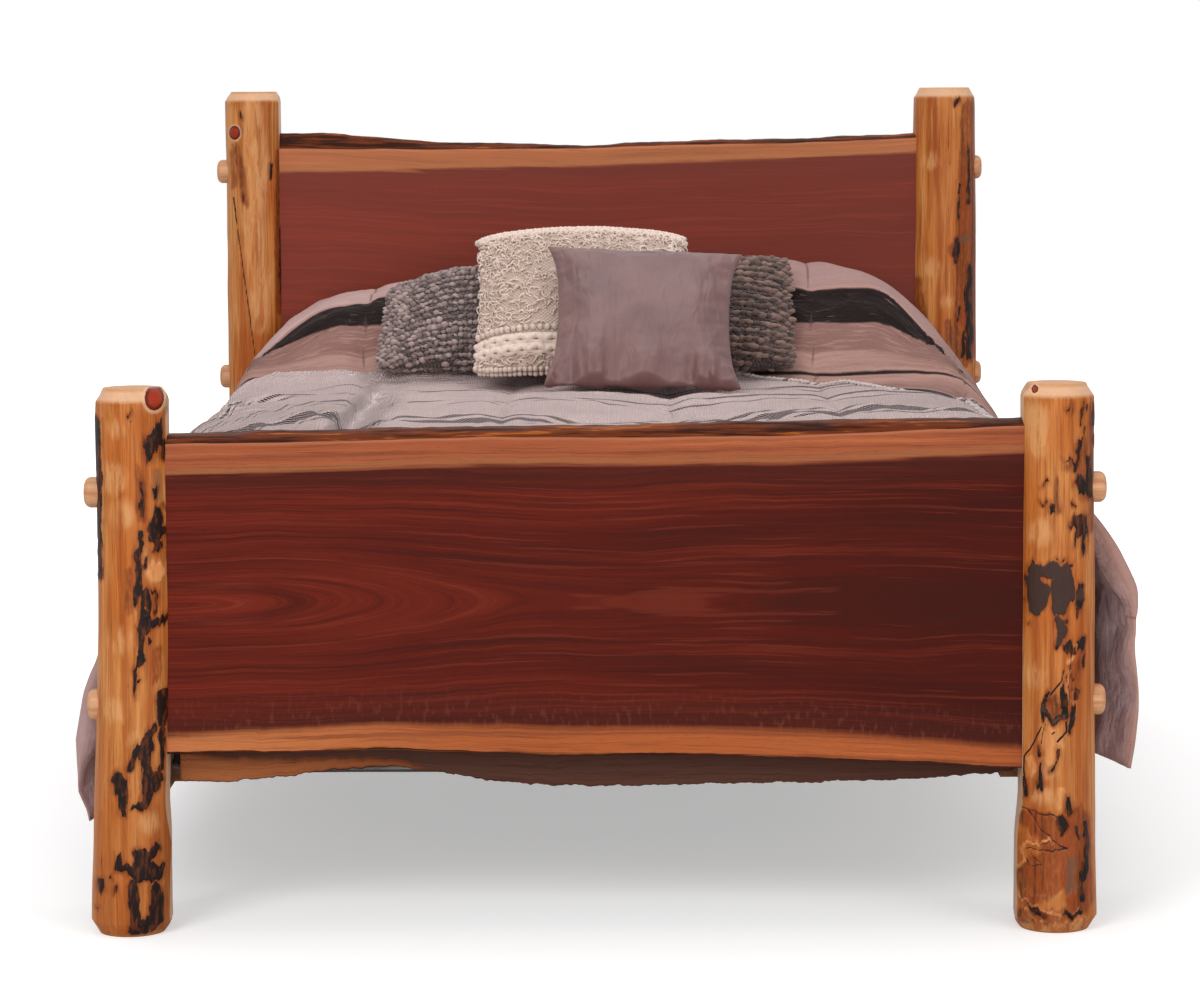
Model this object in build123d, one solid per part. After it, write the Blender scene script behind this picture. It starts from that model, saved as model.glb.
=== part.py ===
"""Rustic log bed, queen size, made up with its mattress and bedding.

Units are millimetres and degrees. +Z is up and the floor is z = 0. +X is to the right when
standing at the foot end and looking at the headboard. The foot end is at -Y, the head end at +Y,
and the origin is on the floor in the middle of the bed.
"""
from build123d import *
import math
import os

# Mattress, which everything else is built around
mattress_w = 1524.0
mattress_l = 2032.0
mattress_t = 305.0
mattress_corner_r = 75.0
mattress_edge_r = 50.0
mattress_side_gap = 13.0  # to each side rail
mattress_end_gap = 25.5  # to the headboard and the footboard
post_side_gap = 38.0  # from the mattress's side to the post axes

# Log posts
foot_post_height = 954.0
head_post_height = 1468.0
butt_r = 67.0  # post radius above the bottom chamfer
mid_r = 64.0
mid_share = 0.45  # where mid_r is measured, as a share of the post's height
top_r = 63.0
chamfer_w = 14.0
chamfer_h = 23.0

# Live-edge slabs. Edge heights are measured at even steps from the left end to the right end.
slab_t = 57.0
slab_housing = 12.0  # how deep a slab end or the head cross rail sits in a post
slab_fit = 0.2  # clearance on each face of an end in its housing
slab_end_gap = 2.0  # clearance above and below an end in its housing
wane_depth = 20.0  # how far the sloping bark edge runs back from the front face
foot_slab_top = 882.0
foot_slab_bottom = 310.0
foot_top_wave = [-11, -7, -4.5, -1, 0, 3.5, 5.5, 8.5, 9]
foot_bottom_wave = [6, 8, 10, 5, 0, -1.5, -8, -17.5, -28]
foot_wane = [14, 17, 16.5, 16, 19, 22, 22, 17.5, 11]
head_slab_top = 1340.0
head_slab_bottom = 700.0
head_top_wave = [29, 26, 9, 3, 0, 8, 10, 15, 24]
head_bottom_wave = [4, -2, 0, 7, 3, -2, 1, 6, 0]
head_wane = [36, 34, 18, 12, 7, 10, 10, 10, 12]

# Round pegs that lock the slabs to the posts
peg_d = 54.0
peg_spigot_d = 32.0
peg_spigot_length = 95.0
peg_proud = 22.0  # how far a peg stands out of its post
peg_round = 12.0
peg_fit = 0.1  # glue gap around a peg
foot_peg_heights = {"lower": 400.0, "upper": 772.0}
head_peg_heights = {"lower": 807.0, "upper": 1284.0}

# Side rails, ledgers, slats and cross rails
rail_t = 38.0
rail_h = 184.0
rail_seat = 58.0  # from a post's axis to the flat that the rail end butts against
ledger_w = 38.0
ledger_h = 30.0
slat_w = 89.0
slat_t = 25.0
slat_count = 5
slat_spacing = 360.0
slat_end_gap = 4.0
deck_z = 260.0  # top of the slats
cross_rail_t = 38.0
cross_rail_top = 420.0
cross_rail_bottom = 250.0
cross_rail_wave = [7, 14, 30, 6, -5, -3, -1, 4, 18]
cross_rail_end_gap = 2.0

# Knock-down fittings between the rails and the posts
plate_w = 28.0
plate_h = 140.0
plate_t = 3.0
plate_fit = 0.2
hook_t = 3.0
hook_h = 24.0
hook_lip_t = 4.0
hook_lip_drop = 7.0
hook_fit = 0.5
hook_spacing = 60.0
plate_screw_spacing = 118.0

# Wood screws: shank diameter, length and head diameter
plate_screw = (4.5, 32.0, 8.5)
ledger_screw = (5.0, 60.0, 9.5)
slat_screw = (4.0, 45.0, 8.0)
cross_rail_screw = (6.0, 75.0, 11.5)
screw_head_sink = 0.3
ledger_screw_count = 6
cross_rail_screw_count = 5

# Box spring and bedding
soft_gap = 0.3  # between soft pieces and what they lie on
box_spring_side_inset = 6.0  # from the mattress's side
box_spring_end_gap = 3.5  # to the foot cross rail
box_spring_h = 229.0
box_spring_corner_r = 40.0
box_spring_edge_r = 18.0
cover_t = 35.0  # comforter thickness
cover_end_inset = 16.0  # from the mattress's ends
# Comforter outline: distances from the mattress's side and from the comforter's flat top
foot_shoulder = [(-40, 0), (-3, -5), (33, -33), (76, -66), (104, -96)]
head_shoulder = [(-322, 258), (-242, 246), (-162, 220), (-102, 184), (-62, 148), (-7, 89),
                 (68, -25), (112, -88)]
left_drape = [(128, -158), (145, -246), (155, -403)]
right_drape = [(147, -158), (177, -246), (187, -403)]
# Distance of each hem from the mattress's side, and its height above the floor
left_hem = (152.0, 200.0)
right_hem = (180.0, 258.0)
hump_length = 556.0  # from the foot of the climb over the sleeping pillows to the mattress's head end
hump_rise = 228.0
pillow_lean = 42.0  # slope of the climb, which the loose pillows lie back on
hump_crest = [(55, 22), (155, 25), (260, -12)]
sleeping_pillow_gap = 50.0
sleeping_pillow_side_inset = 47.0  # from the mattress's side
sleeping_pillow_end_inset = 31.0  # from the mattress's head end

# Woven throw over the foot half of the comforter
throw_t = 5.0
throw_foot_inset = 50.0  # from the comforter's foot end
throw_head_gap = 20.0  # to the foot of the climb
throw_slant_w = 522.0  # width and length of the right corner that its slanted edge takes away
throw_slant_l = 690.0
throw_side_reach = 60.0  # how far the throw passes the mattress's side

# Loose pillows: width, height, thickness, middle across the bed, middle up the slope
grey_pillow = (410.0, 395.0, 100.0, 97.0, -30.0)
cream_pillow = (465.0, 435.0, 100.0, -36.0, 112.0)
left_knit_pillow = (400.0, 310.0, 85.0, -283.0, 155.0)
right_knit_pillow = (400.0, 340.0, 85.0, 222.0, 170.0)
pillow_corner_r = 45.0
# A pillow's outline at five heights: share of its thickness, share of its width and height
pillow_profile = [(-0.5, 0.66), (-0.3, 0.90), (0, 1), (0.3, 0.90), (0.5, 0.66)]

# Values that follow from the sizes above
post_x = mattress_w / 2 + post_side_gap
post_y = mattress_l / 2 + mattress_end_gap + slab_t / 2
slab_half = post_x - mid_r + slab_housing
rail_inner_x = mattress_w / 2 + mattress_side_gap
rail_x = rail_inner_x + rail_t / 2
rail_end_y = post_y - rail_seat
ledger_top = deck_z - slat_t
rail_bottom = ledger_top - ledger_h
rail_mid_z = rail_bottom + rail_h / 2
ledger_half = (slat_count - 1) / 2 * slat_spacing + slat_w / 2 + slat_end_gap
foot_rail_y = -(post_y - slab_t / 2 - cross_rail_t / 2)
box_spring_w = mattress_w - 2 * box_spring_side_inset
box_spring_l = 2 * (post_y - slab_t / 2 - cross_rail_t - box_spring_end_gap)
foot_rail_half = post_x - butt_r - cross_rail_end_gap
box_spring_z = deck_z + soft_gap
mattress_z = box_spring_z + box_spring_h + soft_gap
mattress_top = mattress_z + mattress_t
cover_top = mattress_top + soft_gap + cover_t
cover_half = mattress_l / 2 - cover_end_inset
hump_start = mattress_l / 2 - hump_length
corners = {"foot_left": (-1, -1), "foot_right": (1, -1), "head_left": (-1, 1), "head_right": (1, 1)}


def block(x_size, y_size, z_size, x, y, z):
    """A box centred on the point x, y, z."""
    return Pos(x, y, z) * Box(x_size, y_size, z_size)


def heights(base, wave):
    """Absolute edge heights from a base height and its wave."""
    return [base + step for step in wave]


def along(half, levels):
    """Points at even steps from -half to half, one for each level."""
    steps = len(levels) - 1
    return [(-half + 2 * half * i / steps, level) for i, level in enumerate(levels)]


def live_edge_face(half, top, bottom):
    """An upright XZ face between a wavy bottom edge and a wavy top edge."""
    upper = Spline(along(half, top))
    lower = Spline(along(half, bottom))
    ends = [Line((side * half, bottom[i]), (side * half, top[i])) for side, i in ((-1, 0), (1, -1))]
    return Plane.XZ * make_face([upper, lower] + ends)


def slab(half, top, bottom, wane):
    """A live-edge slab whose top edge slopes down to its front face, centred on y = 0."""
    full = live_edge_face(half, top, bottom)
    front = live_edge_face(half, [t - w for t, w in zip(top, wane)], bottom)
    places = (Pos(0, -slab_t / 2, 0) * front, Pos(0, wane_depth - slab_t / 2, 0) * full,
              Pos(0, slab_t / 2, 0) * full)
    return loft(places, ruled=True)


def log_post(height):
    """A peeled log, a little thicker at its butt, with both ends chamfered."""
    side = Spline((butt_r, chamfer_h), (mid_r, height * mid_share), (top_r, height - chamfer_h))
    rest = Polyline((top_r, height - chamfer_h), (top_r - chamfer_w, height), (0, height), (0, 0),
                    (butt_r - chamfer_w, 0), (butt_r, chamfer_h))
    return revolve(Plane.XZ * make_face([side, rest]), Axis.Z)


def peg(gap=0.0):
    """A stepped peg along X, from its rounded outer end through the post and into the slab.

    The post's axis is at x = 0 and the slab at -X. gap widens it, for the hole it fits in.
    """
    outer_end = mid_r + peg_proud
    step = slab_housing - mid_r
    head = Cylinder(peg_d / 2 + gap, outer_end - step)
    head = Pos((outer_end + step) / 2, 0, 0) * Rot(0, 90, 0) * head
    if not gap:
        head = fillet(head.edges().sort_by(Axis.X)[-1], peg_round)
    spigot_end = step - peg_spigot_length - gap
    spigot = Pos((spigot_end + step) / 2, 0, 0) * Rot(0, 90, 0) * Cylinder(
        peg_spigot_d / 2 + gap, step - spigot_end)
    return head + spigot


def screw(sizes):
    """A countersunk wood screw along -Z, its head at z = 0."""
    shank_d, length, head_d = sizes
    head_h = (head_d - shank_d) / 2
    outline = Polyline((0, 0), (head_d / 2, 0), (shank_d / 2, -head_h), (shank_d / 2, -length + shank_d),
                       (0, -length), (0, 0))
    return revolve(Plane.XZ * make_face(outline), Axis.Z)


def at_corner(piece, side, end):
    """Move a piece made for the right foot corner to any corner, mirrored as the bed is."""
    if side < 0:
        piece = mirror(piece, Plane.YZ)
    if end > 0:
        piece = mirror(piece, Plane.XZ)
    return piece


def corner_copies(piece):
    """A piece made for the right foot corner, repeated at all four corners."""
    return [at_corner(piece, side, end) for side, end in corners.values()]


def hook_heights():
    """Middle heights of the two hooks of a rail fitting."""
    return [rail_mid_z - hook_spacing / 2, rail_mid_z + hook_spacing / 2]


def plate_screw_heights():
    """Heights of the two screws of a plate."""
    return [rail_mid_z - plate_screw_spacing / 2, rail_mid_z + plate_screw_spacing / 2]


def rail_plate_screws():
    """Screws through the hook plate into the rail end, at the right foot corner."""
    turned = Rot(90, 0, 0) * screw(plate_screw)
    return [Pos(rail_x, -rail_end_y + screw_head_sink, z) * turned for z in plate_screw_heights()]


def post_plate_screws():
    """Screws through the catch plate into the post, at the right foot corner."""
    turned = Rot(-90, 0, 0) * screw(plate_screw)
    return [Pos(rail_x, -rail_end_y - screw_head_sink, z) * turned for z in plate_screw_heights()]


def countersink(face_y, toward):
    """Short cylinders that open the screw holes to a plate's face."""
    sink_d = plate_screw[2]
    return [Pos(rail_x, face_y + toward * screw_head_sink / 2, z) * Rot(90, 0, 0)
            * Cylinder(sink_d / 2, screw_head_sink) for z in plate_screw_heights()]


def hook_plate():
    """The rail's steel plate with its two hooks, at the right foot corner."""
    plate = block(plate_w, plate_t, plate_h, rail_x, -rail_end_y + plate_t / 2, rail_mid_z)
    reach = plate_t + hook_fit + hook_lip_t
    for z in hook_heights():
        plate += block(hook_t, reach, hook_h, rail_x, -rail_end_y - reach / 2, z)
        lip_z = z - hook_h / 2 - hook_lip_drop / 2
        plate += block(hook_t, hook_lip_t, hook_lip_drop, rail_x,
                       -rail_end_y - reach + hook_lip_t / 2, lip_z)
    for tool in rail_plate_screws() + countersink(-rail_end_y, 1):
        plate -= tool
    return plate


def catch_plate():
    """The post's steel plate with its two slots, at the right foot corner."""
    plate = block(plate_w, plate_t, plate_h, rail_x, -rail_end_y - plate_t / 2, rail_mid_z)
    slot_h = hook_h + hook_lip_drop + 2 * hook_fit
    for z in hook_heights():
        slot_z = z + hook_h / 2 + hook_fit - slot_h / 2 + hook_lip_drop
        plate -= block(hook_t + 2 * hook_fit, plate_t, slot_h, rail_x, -rail_end_y - plate_t / 2, slot_z)
    for tool in post_plate_screws() + countersink(-rail_end_y, -1):
        plate -= tool
    return plate


def post_cuts():
    """What is cut from every post for its rail: the flat, the plate recess and the hook pockets."""
    flat = block(2 * butt_r, butt_r, rail_h + 2 * slab_fit, post_x, -rail_end_y + butt_r / 2, rail_mid_z)
    recess = block(plate_w + 2 * plate_fit, plate_t, plate_h + 2 * plate_fit, rail_x,
                   -rail_end_y - plate_t / 2, rail_mid_z)
    pocket_depth = hook_lip_t + 2 * hook_fit
    pocket_h = hook_h + 2 * hook_lip_drop + 2 * hook_fit
    cuts = [flat, recess] + post_plate_screws()
    for z in hook_heights():
        cuts.append(block(hook_t + 4 * hook_fit, pocket_depth, pocket_h, rail_x,
                          -rail_end_y - plate_t - pocket_depth / 2, z))
    return cuts


def housing_cut(end, top, bottom, thickness):
    """The box cut from a right-hand post for the end of a slab or cross rail."""
    depth = mid_r
    return block(depth, thickness + 2 * slab_fit, top - bottom + 2 * slab_end_gap,
                 slab_half + slab_fit - depth / 2, end * post_y, (top + bottom) / 2)


def post(side, end):
    """A post at one corner, with its peg holes, slab housing and rail seat."""
    is_head = end > 0
    height = head_post_height if is_head else foot_post_height
    body = Pos(side * post_x, end * post_y, 0) * log_post(height)
    for z in (head_peg_heights if is_head else foot_peg_heights).values():
        hole = Pos(post_x, end * post_y, z) * peg(peg_fit)
        body -= hole if side > 0 else mirror(hole, Plane.YZ)
    index = -1 if side > 0 else 0
    if is_head:
        top, bottom = head_slab_top + head_top_wave[index], head_slab_bottom + head_bottom_wave[index]
        cuts = [housing_cut(end, cross_rail_top, cross_rail_bottom, cross_rail_t)]
    else:
        top, bottom = foot_slab_top + foot_top_wave[index], foot_slab_bottom + foot_bottom_wave[index]
        cuts = []
    cuts.append(housing_cut(end, top, bottom, slab_t))
    for cut in cuts:
        body -= cut if side > 0 else mirror(cut, Plane.YZ)
    for cut in post_cuts():
        body -= at_corner(cut, side, end)
    return body


def headboard():
    """The headboard slab with its four peg holes."""
    body = slab(slab_half, heights(head_slab_top, head_top_wave),
                heights(head_slab_bottom, head_bottom_wave), head_wane)
    return pegged(Pos(0, post_y, 0) * body, 1, head_peg_heights)


def footboard():
    """The footboard slab with its peg and cross rail screw holes."""
    body = slab(slab_half, heights(foot_slab_top, foot_top_wave),
                heights(foot_slab_bottom, foot_bottom_wave), foot_wane)
    body = pegged(Pos(0, -post_y, 0) * body, -1, foot_peg_heights)
    for tool in cross_rail_screws():
        body -= tool
    return body


def pegged(body, end, peg_heights):
    """A slab with the holes for its pegs."""
    for z in peg_heights.values():
        hole = Pos(post_x, end * post_y, z) * peg(peg_fit)
        body -= hole
        body -= mirror(hole, Plane.YZ)
    return body


def side_rail():
    """The right side rail, with its plate recesses and screw holes."""
    rail = block(rail_t, 2 * rail_end_y, rail_h, rail_x, 0, rail_mid_z)
    recess = block(plate_w + 2 * plate_fit, plate_t, plate_h + 2 * plate_fit, rail_x,
                   -rail_end_y + plate_t / 2, rail_mid_z)
    for tool in [recess] + rail_plate_screws():
        rail -= tool
        rail -= mirror(tool, Plane.XZ)
    for tool in ledger_screws():
        rail -= tool
    return rail


def ledger():
    """The right ledger strip, which carries the slats."""
    strip = block(ledger_w, 2 * ledger_half, ledger_h, rail_inner_x - ledger_w / 2, 0,
                  ledger_top - ledger_h / 2)
    for tool in ledger_screws() + slat_screws():
        strip -= tool
    return strip


def ledger_screws():
    """Screws through the right ledger into its rail."""
    spacing = 2 * ledger_half / ledger_screw_count
    first = -ledger_half + spacing / 2
    turned = Rot(0, -90, 0) * screw(ledger_screw)
    x = rail_inner_x - ledger_w + screw_head_sink
    z = ledger_top - ledger_h / 2
    return [Pos(x, first + i * spacing, z) * turned for i in range(ledger_screw_count)]


def slat_places():
    """Middle Y of each slat, foot to head."""
    first = -(slat_count - 1) / 2 * slat_spacing
    return [first + i * slat_spacing for i in range(slat_count)]


def slat_screws():
    """Screws down through the right ends of the slats into the ledger."""
    x = rail_inner_x - ledger_w / 2
    return [Pos(x, y, deck_z - screw_head_sink) * screw(slat_screw) for y in slat_places()]


def slat(y):
    """One slat across the ledgers."""
    board = block(2 * (rail_inner_x - slat_end_gap), slat_w, slat_t, 0, y, deck_z - slat_t / 2)
    for tool in slat_screws():
        board -= tool
        board -= mirror(tool, Plane.YZ)
    return board


def cross_rail_screws():
    """Screws through the foot cross rail into the back of the footboard slab."""
    spacing = 2 * foot_rail_half / cross_rail_screw_count
    first = -foot_rail_half + spacing / 2
    turned = Rot(-90, 0, 0) * screw(cross_rail_screw)
    y = foot_rail_y + cross_rail_t / 2 - screw_head_sink
    z = (cross_rail_top + foot_slab_bottom) / 2
    return [Pos(first + i * spacing, y, z) * turned for i in range(cross_rail_screw_count)]


def foot_cross_rail():
    """The lower board behind the footboard, with a wavy bottom edge."""
    top = [cross_rail_top] * len(cross_rail_wave)
    face = live_edge_face(foot_rail_half, top, heights(cross_rail_bottom, cross_rail_wave))
    board = Pos(0, foot_rail_y, 0) * extrude(face, cross_rail_t / 2, both=True)
    for tool in cross_rail_screws():
        board -= tool
    return board


def head_cross_rail():
    """The lower board between the head posts, its ends housed in them."""
    return block(2 * slab_half, cross_rail_t, cross_rail_top - cross_rail_bottom, 0, post_y,
                 (cross_rail_top + cross_rail_bottom) / 2)


def soft_block(x_size, y_size, z_size, z, corner_r, edge_r):
    """A soft block on height z with round corners and rounded top and bottom edges."""
    body = extrude(RectangleRounded(x_size, y_size, corner_r), z_size)
    rims = body.faces().sort_by(Axis.Z)
    body = fillet(rims[0].edges() + rims[-1].edges(), edge_r)
    return Pos(0, 0, z) * body


def shifted(points, distance):
    """An open line of points, moved sideways by distance, to the right of the way it runs."""
    steps = [(end[0] - start[0], end[1] - start[1]) for start, end in zip(points, points[1:])]
    normals = [(rise / math.hypot(run, rise), -run / math.hypot(run, rise)) for run, rise in steps]
    moved = []
    for (x, y), before, after in zip(points, [normals[0]] + normals, normals + [normals[-1]]):
        mitre = distance / (1 + before[0] * after[0] + before[1] * after[1])
        moved.append((x + (before[0] + after[0]) * mitre, y + (before[1] + after[1]) * mitre))
    return moved


def arch_side(shoulder, drape, hem, drop):
    """One side of the cover's cross-section, from its shoulder to so far below its hem."""
    half_w = mattress_w / 2
    line = [(half_w + out, cover_top + up) for out, up in shoulder + drape]
    return line + [(half_w + hem[0], hem[1] - drop)]


def arch_face(shoulder, inset, drop):
    """The cover's cross-section down to drop below its hems, or that line moved inwards by inset."""
    left = [(-x, z) for x, z in reversed(arch_side(shoulder, left_drape, left_hem, drop))]
    line = left + arch_side(shoulder, right_drape, right_hem, drop)
    return Plane.XZ * make_face(Polyline(shifted(line, inset), close=True))


def hump_face(inset, y_half):
    """The cover's side view: flat over the mattress, then up over the sleeping pillows."""
    top_y = hump_start + hump_rise / math.tan(math.radians(pillow_lean))
    hump_top = cover_top + hump_rise
    line = [(-y_half, cover_top), (hump_start, cover_top), (top_y, hump_top)]
    line += [(top_y + out, hump_top + up) for out, up in hump_crest]
    line.append((y_half, hump_top + hump_crest[-1][1]))
    return Plane.YZ * make_face(Polyline(shifted(line, inset) + [(y_half, 0), (-y_half, 0)], close=True))


def under_cover(inset, drop, y_half):
    """Everything under the comforter's outer surface, or under a surface that far inside it."""
    reach = mattress_w / 2 + 2 * right_drape[-1][0]
    flat = extrude(arch_face(foot_shoulder, inset, drop), y_half, both=True)
    head = Pos(0, y_half, 0) * extrude(arch_face(head_shoulder, inset, drop), y_half - hump_start,
                                       dir=(0, -1, 0))
    return flat + (head & extrude(hump_face(inset, y_half), reach, both=True))


def comforter():
    """The quilted comforter: a thick shell over mattress and pillows, open below and at its ends."""
    outer = under_cover(0, 0, cover_half)
    inner = under_cover(cover_t, cover_t, cover_half + cover_t)
    return outer - inner


def sleeping_pillow():
    """The right-hand sleeping pillow, which fills the comforter's hump from below."""
    space = under_cover(cover_t + soft_gap, 0, cover_half + cover_t)
    foot_y = hump_start + cover_t
    back_y = mattress_l / 2 - sleeping_pillow_end_inset
    inner_x = sleeping_pillow_gap / 2
    outer_x = mattress_w / 2 - sleeping_pillow_side_inset
    room = block(outer_x - inner_x, back_y - foot_y, hump_rise * 2, (inner_x + outer_x) / 2,
                 (back_y + foot_y) / 2, mattress_top + 2 * soft_gap + hump_rise)
    return space & room


def throw_blanket():
    """The woven throw, a thin sheet that lies on the comforter's flat part and over its sides."""
    over = under_cover(-soft_gap - throw_t, 0, cover_half)
    under = under_cover(-soft_gap, throw_t, cover_half + throw_t)
    reach = mattress_w / 2 + throw_side_reach
    foot_y = throw_foot_inset - cover_half
    head_y = hump_start - throw_head_gap
    plan = Polyline((-reach, foot_y), (reach, foot_y), (reach, head_y - throw_slant_l),
                    (reach - throw_slant_w, head_y), (-reach, head_y), close=True)
    column = extrude(make_face(plan), cover_top + hump_rise)
    return (over - under) & column


def cushion(width, height, thickness):
    """A pillow lying flat with its middle at the origin: two crowned sides that meet at its rim."""
    rings = []
    for level, share in pillow_profile:
        outline = RectangleRounded(width * share, height * share, pillow_corner_r * share)
        rings.append(Pos(0, 0, level * thickness) * outline)
    return loft(rings, ruled=True)


def lean_back(piece, across, up_slope, off_slope):
    """Put a cushion on the comforter's slope, across the bed and so far off the slope."""
    angle = math.radians(pillow_lean)
    up = Vector(0, math.cos(angle), math.sin(angle))
    out = Vector(0, -math.sin(angle), math.cos(angle))
    origin = Vector(across, hump_start, cover_top) + up * up_slope + out * off_slope
    return Plane(origin=origin, x_dir=(1, 0, 0), z_dir=out).location * piece


def loose_pillows():
    """The four loose pillows in three layers: two knitted, then the cream one, then the grey one."""
    knit_level = soft_gap + left_knit_pillow[2] / 2
    cream_level = left_knit_pillow[2] + 2 * soft_gap + cream_pillow[2] / 2
    grey_level = cream_level + cream_pillow[2] / 2 + soft_gap + grey_pillow[2] / 2
    placed = {"left_knit_pillow": (left_knit_pillow, knit_level),
              "right_knit_pillow": (right_knit_pillow, knit_level),
              "cream_pillow": (cream_pillow, cream_level),
              "grey_pillow": (grey_pillow, grey_level)}
    return {name: lean_back(cushion(*sizes[:3]), sizes[3], sizes[4], level)
            for name, (sizes, level) in placed.items()}


def all_parts():
    """Every node by name."""
    parts = {"headboard_slab": headboard(), "footboard_slab": footboard()}
    for corner, (side, end) in corners.items():
        parts[f"{corner}_post"] = post(side, end)
        parts[f"{corner}_hook_plate"] = at_corner(hook_plate(), side, end)
        parts[f"{corner}_catch_plate"] = at_corner(catch_plate(), side, end)
        peg_heights = head_peg_heights if end > 0 else foot_peg_heights
        for level, z in peg_heights.items():
            piece = Pos(post_x, -post_y, z) * peg()
            parts[f"{corner}_{level}_peg"] = at_corner(piece, side, end)
    for name, piece in {"side_rail": side_rail(), "ledger": ledger()}.items():
        parts[f"right_{name}"] = piece
        parts[f"left_{name}"] = mirror(piece, Plane.YZ)
    for i, y in enumerate(slat_places()):
        parts[f"slat_{i + 1}"] = slat(y)
    parts["foot_cross_rail"] = foot_cross_rail()
    parts["head_cross_rail"] = head_cross_rail()
    for name, right_side in {"ledger_screws": ledger_screws(), "slat_screws": slat_screws()}.items():
        left_side = [mirror(piece, Plane.YZ) for piece in right_side]
        parts[name] = Compound(children=right_side + left_side)
    parts["cross_rail_screws"] = Compound(children=cross_rail_screws())
    for name, pair in {"hook_plate_screws": rail_plate_screws(),
                       "catch_plate_screws": post_plate_screws()}.items():
        parts[name] = Compound(children=[copy for piece in pair for copy in corner_copies(piece)])
    parts["box_spring"] = soft_block(box_spring_w, box_spring_l, box_spring_h, box_spring_z,
                                     box_spring_corner_r, box_spring_edge_r)
    parts["mattress"] = soft_block(mattress_w, mattress_l, mattress_t, mattress_z,
                                   mattress_corner_r, mattress_edge_r)
    parts["comforter"] = comforter()
    parts["right_sleeping_pillow"] = sleeping_pillow()
    parts["left_sleeping_pillow"] = mirror(parts["right_sleeping_pillow"], Plane.YZ)
    parts["throw_blanket"] = throw_blanket()
    parts.update(loose_pillows())
    return parts


os.makedirs("parts", exist_ok=True)
for node, solid in all_parts().items():
    export_step(solid, f"parts/{node}.step")
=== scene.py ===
"""Looks of the rustic log bed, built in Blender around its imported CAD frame.

Lengths are metres, in the frame's own axes: +Z up, +Y from foot to head, +X to the right when
standing at the foot. Marks on the posts are listed in millimetres, as they were read.
"""
import math

import bpy
import numpy as np
from mathutils import Matrix, Vector
from mathutils.bvhtree import BVHTree


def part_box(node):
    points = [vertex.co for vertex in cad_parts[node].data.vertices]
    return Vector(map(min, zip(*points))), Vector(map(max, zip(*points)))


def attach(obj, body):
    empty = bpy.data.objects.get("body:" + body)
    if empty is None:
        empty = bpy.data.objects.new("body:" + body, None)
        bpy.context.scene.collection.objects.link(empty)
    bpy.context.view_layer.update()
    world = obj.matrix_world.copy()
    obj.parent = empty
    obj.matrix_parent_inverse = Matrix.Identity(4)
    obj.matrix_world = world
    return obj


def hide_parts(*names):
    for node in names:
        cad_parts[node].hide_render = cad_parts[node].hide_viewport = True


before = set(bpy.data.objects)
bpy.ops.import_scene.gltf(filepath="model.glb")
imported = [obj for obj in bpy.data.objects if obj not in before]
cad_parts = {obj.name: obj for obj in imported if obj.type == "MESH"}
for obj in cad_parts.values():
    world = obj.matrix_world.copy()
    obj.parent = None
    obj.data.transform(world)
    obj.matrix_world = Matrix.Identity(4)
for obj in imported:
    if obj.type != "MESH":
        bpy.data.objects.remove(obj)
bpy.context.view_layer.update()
MM = 0.001


# ---------------------------------------------------------------- numbers and meshes

def lattice(cells, seed):
    """Repeatable random values from 0 to 1 for whole-number 3-D cells."""
    x, y, z = (cells[..., axis] for axis in range(3))
    mixed = (x * 374761393 + y * 668265263 + z * 1440662683 + seed * 974711) & 0xFFFFFFFF
    mixed = ((mixed ^ (mixed >> 13)) * 1274126177) & 0xFFFFFFFF
    mixed = ((mixed ^ (mixed >> 16)) * 668265263) & 0xFFFFFFFF
    return ((mixed ^ (mixed >> 15)) & 0xFFFF) / 0xFFFF


def noise(points, scale, seed, octaves=1):
    """Smooth noise from -1 to 1 at 3-D points, with scale cells to the metre."""
    total = np.zeros(points.shape[:-1])
    share = 1.0
    for octave in range(octaves):
        place = points * np.asarray(scale) * 2 ** octave
        cell = np.floor(place).astype(np.int64)
        part = place - cell
        part = part * part * (3 - 2 * part)
        for corner in np.ndindex(2, 2, 2):
            weight = np.prod(np.where(corner, part, 1 - part), axis=-1)
            total += share * weight * (2 * lattice(cell + np.array(corner), seed + octave) - 1)
        share /= 2
    return total


def smooth(low, high, value):
    """0 below low, 1 above high, and a smooth step between."""
    part = np.clip((value - low) / (high - low), 0, 1)
    return part * part * (3 - 2 * part)


def depth_in(across, up, strokes):
    """How deep each point is inside a union of strokes; negative is the distance outside.

    A stroke is a list of (across, up, radius) points that it runs through.
    """
    deepest = np.full(across.shape, -1000.0)
    for stroke in strokes:
        for (a0, u0, r0), (a1, u1, r1) in zip(stroke, stroke[1:] or stroke):
            run, rise = a1 - a0, u1 - u0
            part = ((across - a0) * run + (up - u0) * rise) / max(run * run + rise * rise, 1e-9)
            part = np.clip(part, 0, 1)
            away = np.hypot(across - a0 - run * part, up - u0 - rise * part)
            deepest = np.maximum(deepest, r0 + (r1 - r0) * part - away)
    return deepest


def grid_faces(rows, columns, wrap=False):
    """Quads between the points of a rows x columns grid, joined round the columns if wrap."""
    last = columns if wrap else columns - 1
    row, column = np.meshgrid(np.arange(rows - 1), np.arange(last), indexing="ij")
    ahead = (column + 1) % columns
    quads = (row * columns + column, row * columns + ahead, (row + 1) * columns + ahead,
             (row + 1) * columns + column)
    return np.stack(quads, axis=-1).reshape(-1, 4)


def capped_faces(rows, columns):
    """Faces of a closed tube of points: quads round its rows, and one face over each end."""
    faces = grid_faces(rows, columns, wrap=True).tolist()
    faces.append(list(range(columns))[::-1])
    faces.append([(rows - 1) * columns + i for i in range(columns)])
    return faces


def laid_flat(x, y):
    """Points at x and y with a height of 0."""
    return np.stack([x, y, 0 * x], axis=-1)


def run_of(line):
    """How far along a line of points each of them lies."""
    steps = np.linalg.norm(np.diff(line, axis=0), axis=1)
    return np.concatenate([[0], np.cumsum(steps)])


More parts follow.
